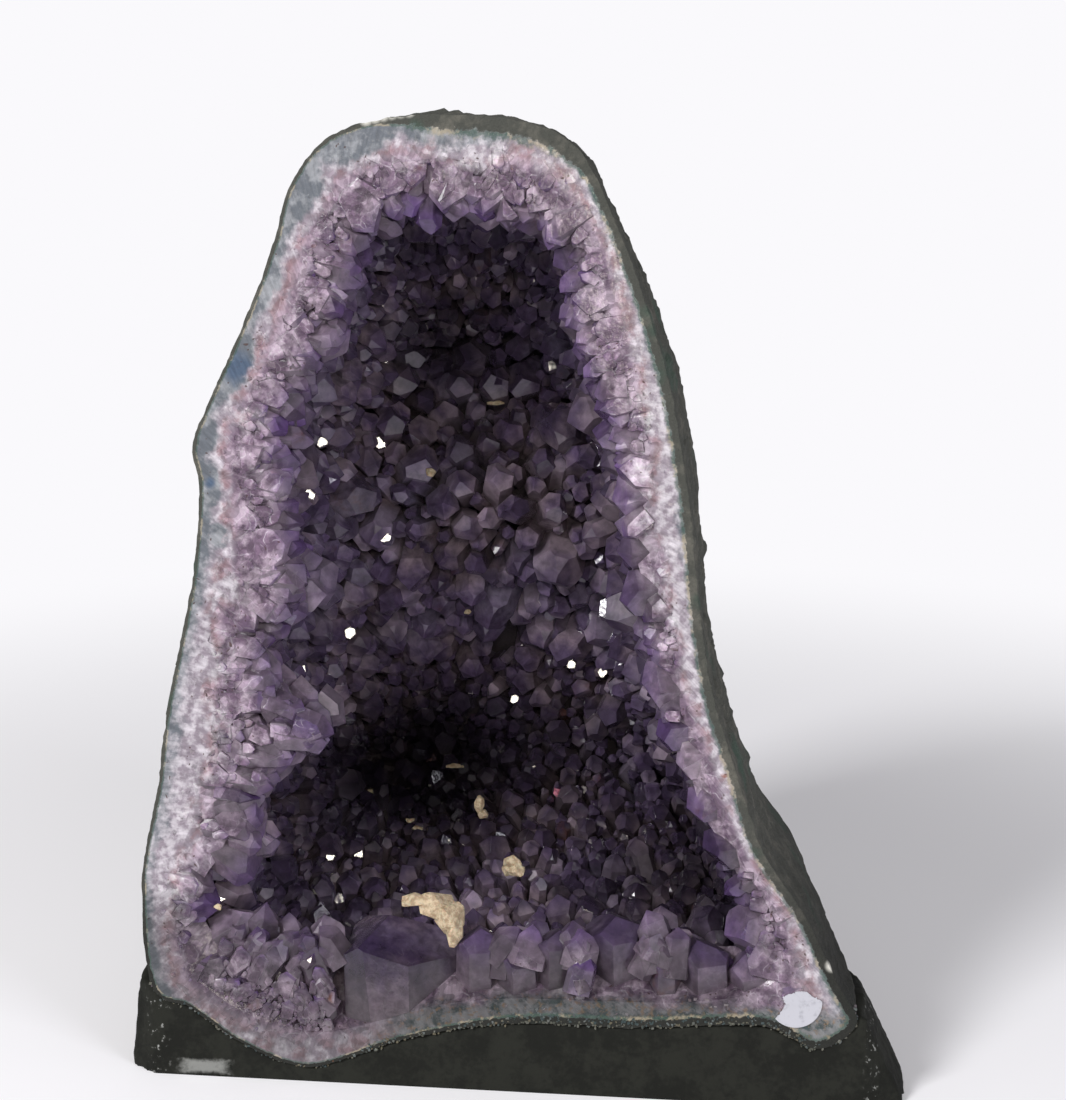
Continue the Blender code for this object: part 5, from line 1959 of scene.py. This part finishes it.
@dataclass(frozen=True)
class PaintedCement:
    """Cement, cast by hand and painted dark green-grey: matt, uneven, with pale chips and chalky scuffs."""

    paint: str = "131410"
    worn: str = "1F201B"
    chalk: str = "8F908D"
    scuff_at: tuple[float, float] = (-148, 5)
    scuff_half: tuple[float, float] = (12, 3.6)
    chipped_edges: tuple = ((-172, 9), (171, 5))

    def material(self) -> bpy.types.Material:
        """Makes the finish.

        Returns:
            The material.
        """
        made, tree, shader = fresh("painted_cement")
        place = add(tree, "TexCoord", out="Object")
        mottle = add(tree, "TexNoise", {"Vector": place, "Scale": repeats(8), "Detail": 5.0})
        crumbs = {"Vector": place, "Scale": repeats(1.4), "Detail": 4.0, "Roughness": 0.65}
        crumbs = add(tree, "TexNoise", crumbs)
        mixed = add(tree, "Math", {0: crumbs, 1: 0.7, 2: mottle}, operation="MULTIPLY_ADD")
        colour = over(tree, linear(self.paint), (mixed, 0.70, 1.00, 1.0, self.worn))
        across, height = (add(tree, "SeparateXYZ", {0: place}, way) for way in ("X", "Z"))
        off = []
        for at, middle, half in zip((across, height), self.scuff_at, self.scuff_half):
            gap = add(tree, "Math", {0: at, 1: middle * MM}, operation="SUBTRACT")
            gap = add(tree, "Math", {0: gap, 1: 1 / (half * MM)}, operation="MULTIPLY")
            off.append(add(tree, "Math", {0: gap}, operation="ABSOLUTE"))
        away = add(tree, "Math", {0: off[0], 1: off[1]}, operation="MAXIMUM")
        away = add(tree, "Math", {0: crumbs, 1: -0.9, 2: away}, operation="MULTIPLY_ADD")
        away = add(tree, "Math", {0: mottle, 1: -0.6, 2: away}, operation="MULTIPLY_ADD")
        scuff = add(tree, "MapRange", {"Value": away, 1: 0.45, 2: -0.30, 4: 0.75}, **SOFT)
        chips = add(tree, "MapRange", {"Value": crumbs, 1: 0.60, 2: 0.68}, **SOFT)
        for edge, reach in self.chipped_edges:
            gap = add(tree, "Math", {0: across, 1: edge * MM}, operation="SUBTRACT")
            gap = add(tree, "Math", {0: gap}, operation="ABSOLUTE")
            near = add(tree, "MapRange", {"Value": gap, 1: reach * MM, 2: 0.0}, **SOFT)
            chipped = add(tree, "Math", {0: near, 1: chips}, operation="MULTIPLY")
            scuff = add(tree, "Math", {0: chipped, 1: scuff}, operation="MAXIMUM")
        colour = add(tree, "Mix", {0: scuff, 6: colour, 7: linear(self.chalk)}, 2, **RGBA)
        bumps = add(tree, "Bump", {"Height": crumbs, "Strength": 0.5, "Distance": 0.7 * MM})
        surface = {"Base Color": colour, "Normal": bumps, "Roughness": 0.85, "Specular IOR Level": 0.25}
        feed(tree, shader, surface)
        return made


@dataclass(frozen=True)
class JointGrit:
    """Crushed agate and green earth left in the joint: damp-looking teal, grey, rust and beige grains."""

    teal: str = "2C3B3C"
    grey: str = "565C5B"
    beige: str = "585240"
    rust: str = "5E3A24"
    quartz: str = "776D73"
    brownish: str = "574A50"

    def material(self) -> bpy.types.Material:
        """Makes the finish.

        Returns:
            The material.
        """
        made, tree, shader = fresh("joint_grit")
        place = add(tree, "TexCoord", out="Object")
        tone, rise = (add(tree, "Attribute", out="Fac", attribute_name=name) for name in ("tone", "rise"))
        zones = add(tree, "TexNoise", {"Vector": place, "Scale": repeats(8), "Detail": 2.0})
        zones = add(tree, "Math", {0: zones, 1: 1.6, 2: tone}, operation="MULTIPLY_ADD")
        colour = over(tree, linear(self.teal), (zones, 1.2, 1.5, 1.0, self.grey))
        low = add(tree, "MapRange", {"Value": rise, 1: 0.10, 2: 0.03, 4: 0.55}, **SOFT)
        share = add(tree, "MapRange", {"Value": zones, 1: 1.50, 2: 1.70, 3: low}, **SOFT)
        colour = add(tree, "Mix", {0: share, 6: colour, 7: linear(self.beige)}, 2, **RGBA)
        quartz = over(tree, linear(self.brownish), (tone, 0.2, 0.9, 1.0, self.quartz))
        high = add(tree, "Math", {0: zones, 1: -0.22, 2: rise}, operation="MULTIPLY_ADD")
        share = add(tree, "MapRange", {"Value": high, 1: 0.10, 2: 0.45, 4: 0.9}, **SOFT)
        colour = add(tree, "Mix", {0: share, 6: colour, 7: quartz}, 2, **RGBA)
        colour = over(tree, colour, (zones, 1.86, 1.98, 0.8, self.rust))
        feed(tree, shader, {"Base Color": colour, "Roughness": 0.5})
        return made


@dataclass(frozen=True)
class Paper:
    """Coated white paper, scuffed: bright, with faint grey wear."""

    white: str = "B4B4BC"
    scuffed: str = "7E7E88"

    def material(self) -> bpy.types.Material:
        """Makes the finish.

        Returns:
            The material.
        """
        made, tree, shader = fresh("white_paper")
        place = add(tree, "TexCoord", out="Object")
        wear = {"Vector": place, "Scale": repeats(2.0), "Detail": 4.0, "Roughness": 0.6}
        wear = add(tree, "TexNoise", wear)
        colour = over(tree, linear(self.white), (wear, 0.50, 0.85, 1.0, self.scuffed))
        feed(tree, shader, {"Base Color": colour, "Roughness": 0.6})
        return made


SAWN_BAND = SawnBand()
AMETHYST = Amethyst()
RIND = AgateAndRind()
CALCITE = Calcite()
PINK_CALCITE = Calcite("pink_calcite", "D98AA0", "9C4F66")
CEMENT = PaintedCement()
GRIT = JointGrit()
PAPER = Paper()


@dataclass
class Studio:
    """The camera, the soft lights and the pale floor. Places are in metres."""

    lens: float = 60
    sensor: float = 36
    floor_radius: float = 12
    floor_sides: int = 64
    paper: str = "FAF9FC"
    lamps: tuple = (
        ("window", WINDOW, (0, 0, 0.22), 0.65, 56, "FFFFFF"),
        ("fill", FILL, (0, 0, 0.22), 0.8, 18, "F4F6FF"),
        ("flash", FLASH, (0, 0, 0.25), 0.22, 6, "FFF8E6"),
    )

    def aimed(self, name: str, data: bpy.types.ID, place: tuple, aim: tuple) -> bpy.types.Object:
        """Puts up a camera or a lamp.

        Args:
            name: Its name.
            data: The camera or the lamp.
            place: Where it stands.
            aim: What it is turned to.

        Returns:
            The object.
        """
        made = placed(name, data)
        made.location = place
        made.rotation_euler = (Vector(aim) - Vector(place)).to_track_quat("-Z", "Y").to_euler()
        return made

    def camera(self) -> None:
        """Sets the camera up."""
        data = bpy.data.cameras.new("camera")
        data.lens = self.lens
        data.sensor_fit = "VERTICAL"
        data.sensor_height = self.sensor
        data.clip_start = 0.05
        bpy.context.scene.camera = self.aimed("camera", data, EYE, AIM)

    def lamp(self, name: str, place: tuple, aim: tuple, size: float, watts: float, colour: str) -> None:
        """Adds a soft square lamp.

        Args:
            name: Its name.
            place: Where it stands.
            aim: What it lights.
            size: Its side.
            watts: Its power.
            colour: Its hex digits.
        """
        data = bpy.data.lights.new(name, "AREA")
        data.size = size
        data.energy = watts
        data.color = linear(colour)[:3]
        self.aimed(name, data, place, aim)

    def sky(self) -> None:
        """The pale room: white to look at, dimmer as a light and dimmest in what the crystals mirror."""
        world = bpy.data.worlds.new("room")
        world.use_nodes = True
        tree = world.node_tree
        back = tree.nodes["Background"]
        seen = add(tree, "LightPath", out="Is Camera Ray")
        mirrored = add(tree, "LightPath", out="Is Glossy Ray")
        lit = add(tree, "MapRange", {"Value": mirrored, 3: 0.36, 4: 0.14})
        strength = add(tree, "MapRange", {"Value": seen, 3: lit, 4: 1.0})
        feed(tree, back, {"Strength": strength, "Color": linear(self.paper)})
        bpy.context.scene.world = world

    def floor(self) -> None:
        """A wide pale floor that runs out into the room's own white."""
        mesh = bpy.data.meshes.new("floor")
        turns = np.linspace(0, 2 * math.pi, self.floor_sides, endpoint=False)
        ring = [(self.floor_radius * math.cos(a), self.floor_radius * math.sin(a), 0) for a in turns]
        mesh.from_pydata(ring, [], [tuple(range(self.floor_sides))])
        made = placed("floor", mesh)
        material, tree, shader = fresh("pale_floor")
        feed(tree, shader, {"Base Color": linear(self.paper), "Roughness": 0.9})
        place = add(tree, "TexCoord", out="Object")
        far = add(tree, "VectorMath", {0: place}, "Value", operation="LENGTH")
        fade = add(tree, "MapRange", {"Value": far, 1: 0.30, 2: 1.1}, **SOFT)
        mirrored = add(tree, "LightPath", out="Is Glossy Ray")
        glow = add(tree, "MapRange", {"Value": mirrored, 3: 1.0, 4: 0.25})
        glow = add(tree, "Emission", {"Color": linear(self.paper), "Strength": glow})
        mixed = add(tree, "MixShader", {0: fade, 1: shader.outputs[0], 2: glow})
        feed(tree, tree.nodes["Material Output"], {"Surface": mixed})
        mesh.materials.append(material)
        made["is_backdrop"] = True

    def build(self) -> None:
        """Sets the whole studio up."""
        self.camera()
        self.sky()
        self.floor()
        for name, place, aim, size, watts, colour in self.lamps:
            self.lamp(name, place, aim, size, watts, colour)
        bpy.context.scene.view_settings.view_transform = "Standard"


def main() -> None:
    """Builds the whole look."""
    logging.basicConfig(level=logging.INFO, format="%(message)s")
    Studio().build()
    for part in (Shell(), Druse(), CalciteBits(), Foot(), Label(), Grit()):
        part.build()
    boxes = {"cad": CAD_BOX, "visual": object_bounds()}
    boxes = {name: [list(map(float, corner)) for corner in box] for name, box in boxes.items()}


if __name__ == "__main__":
    main()
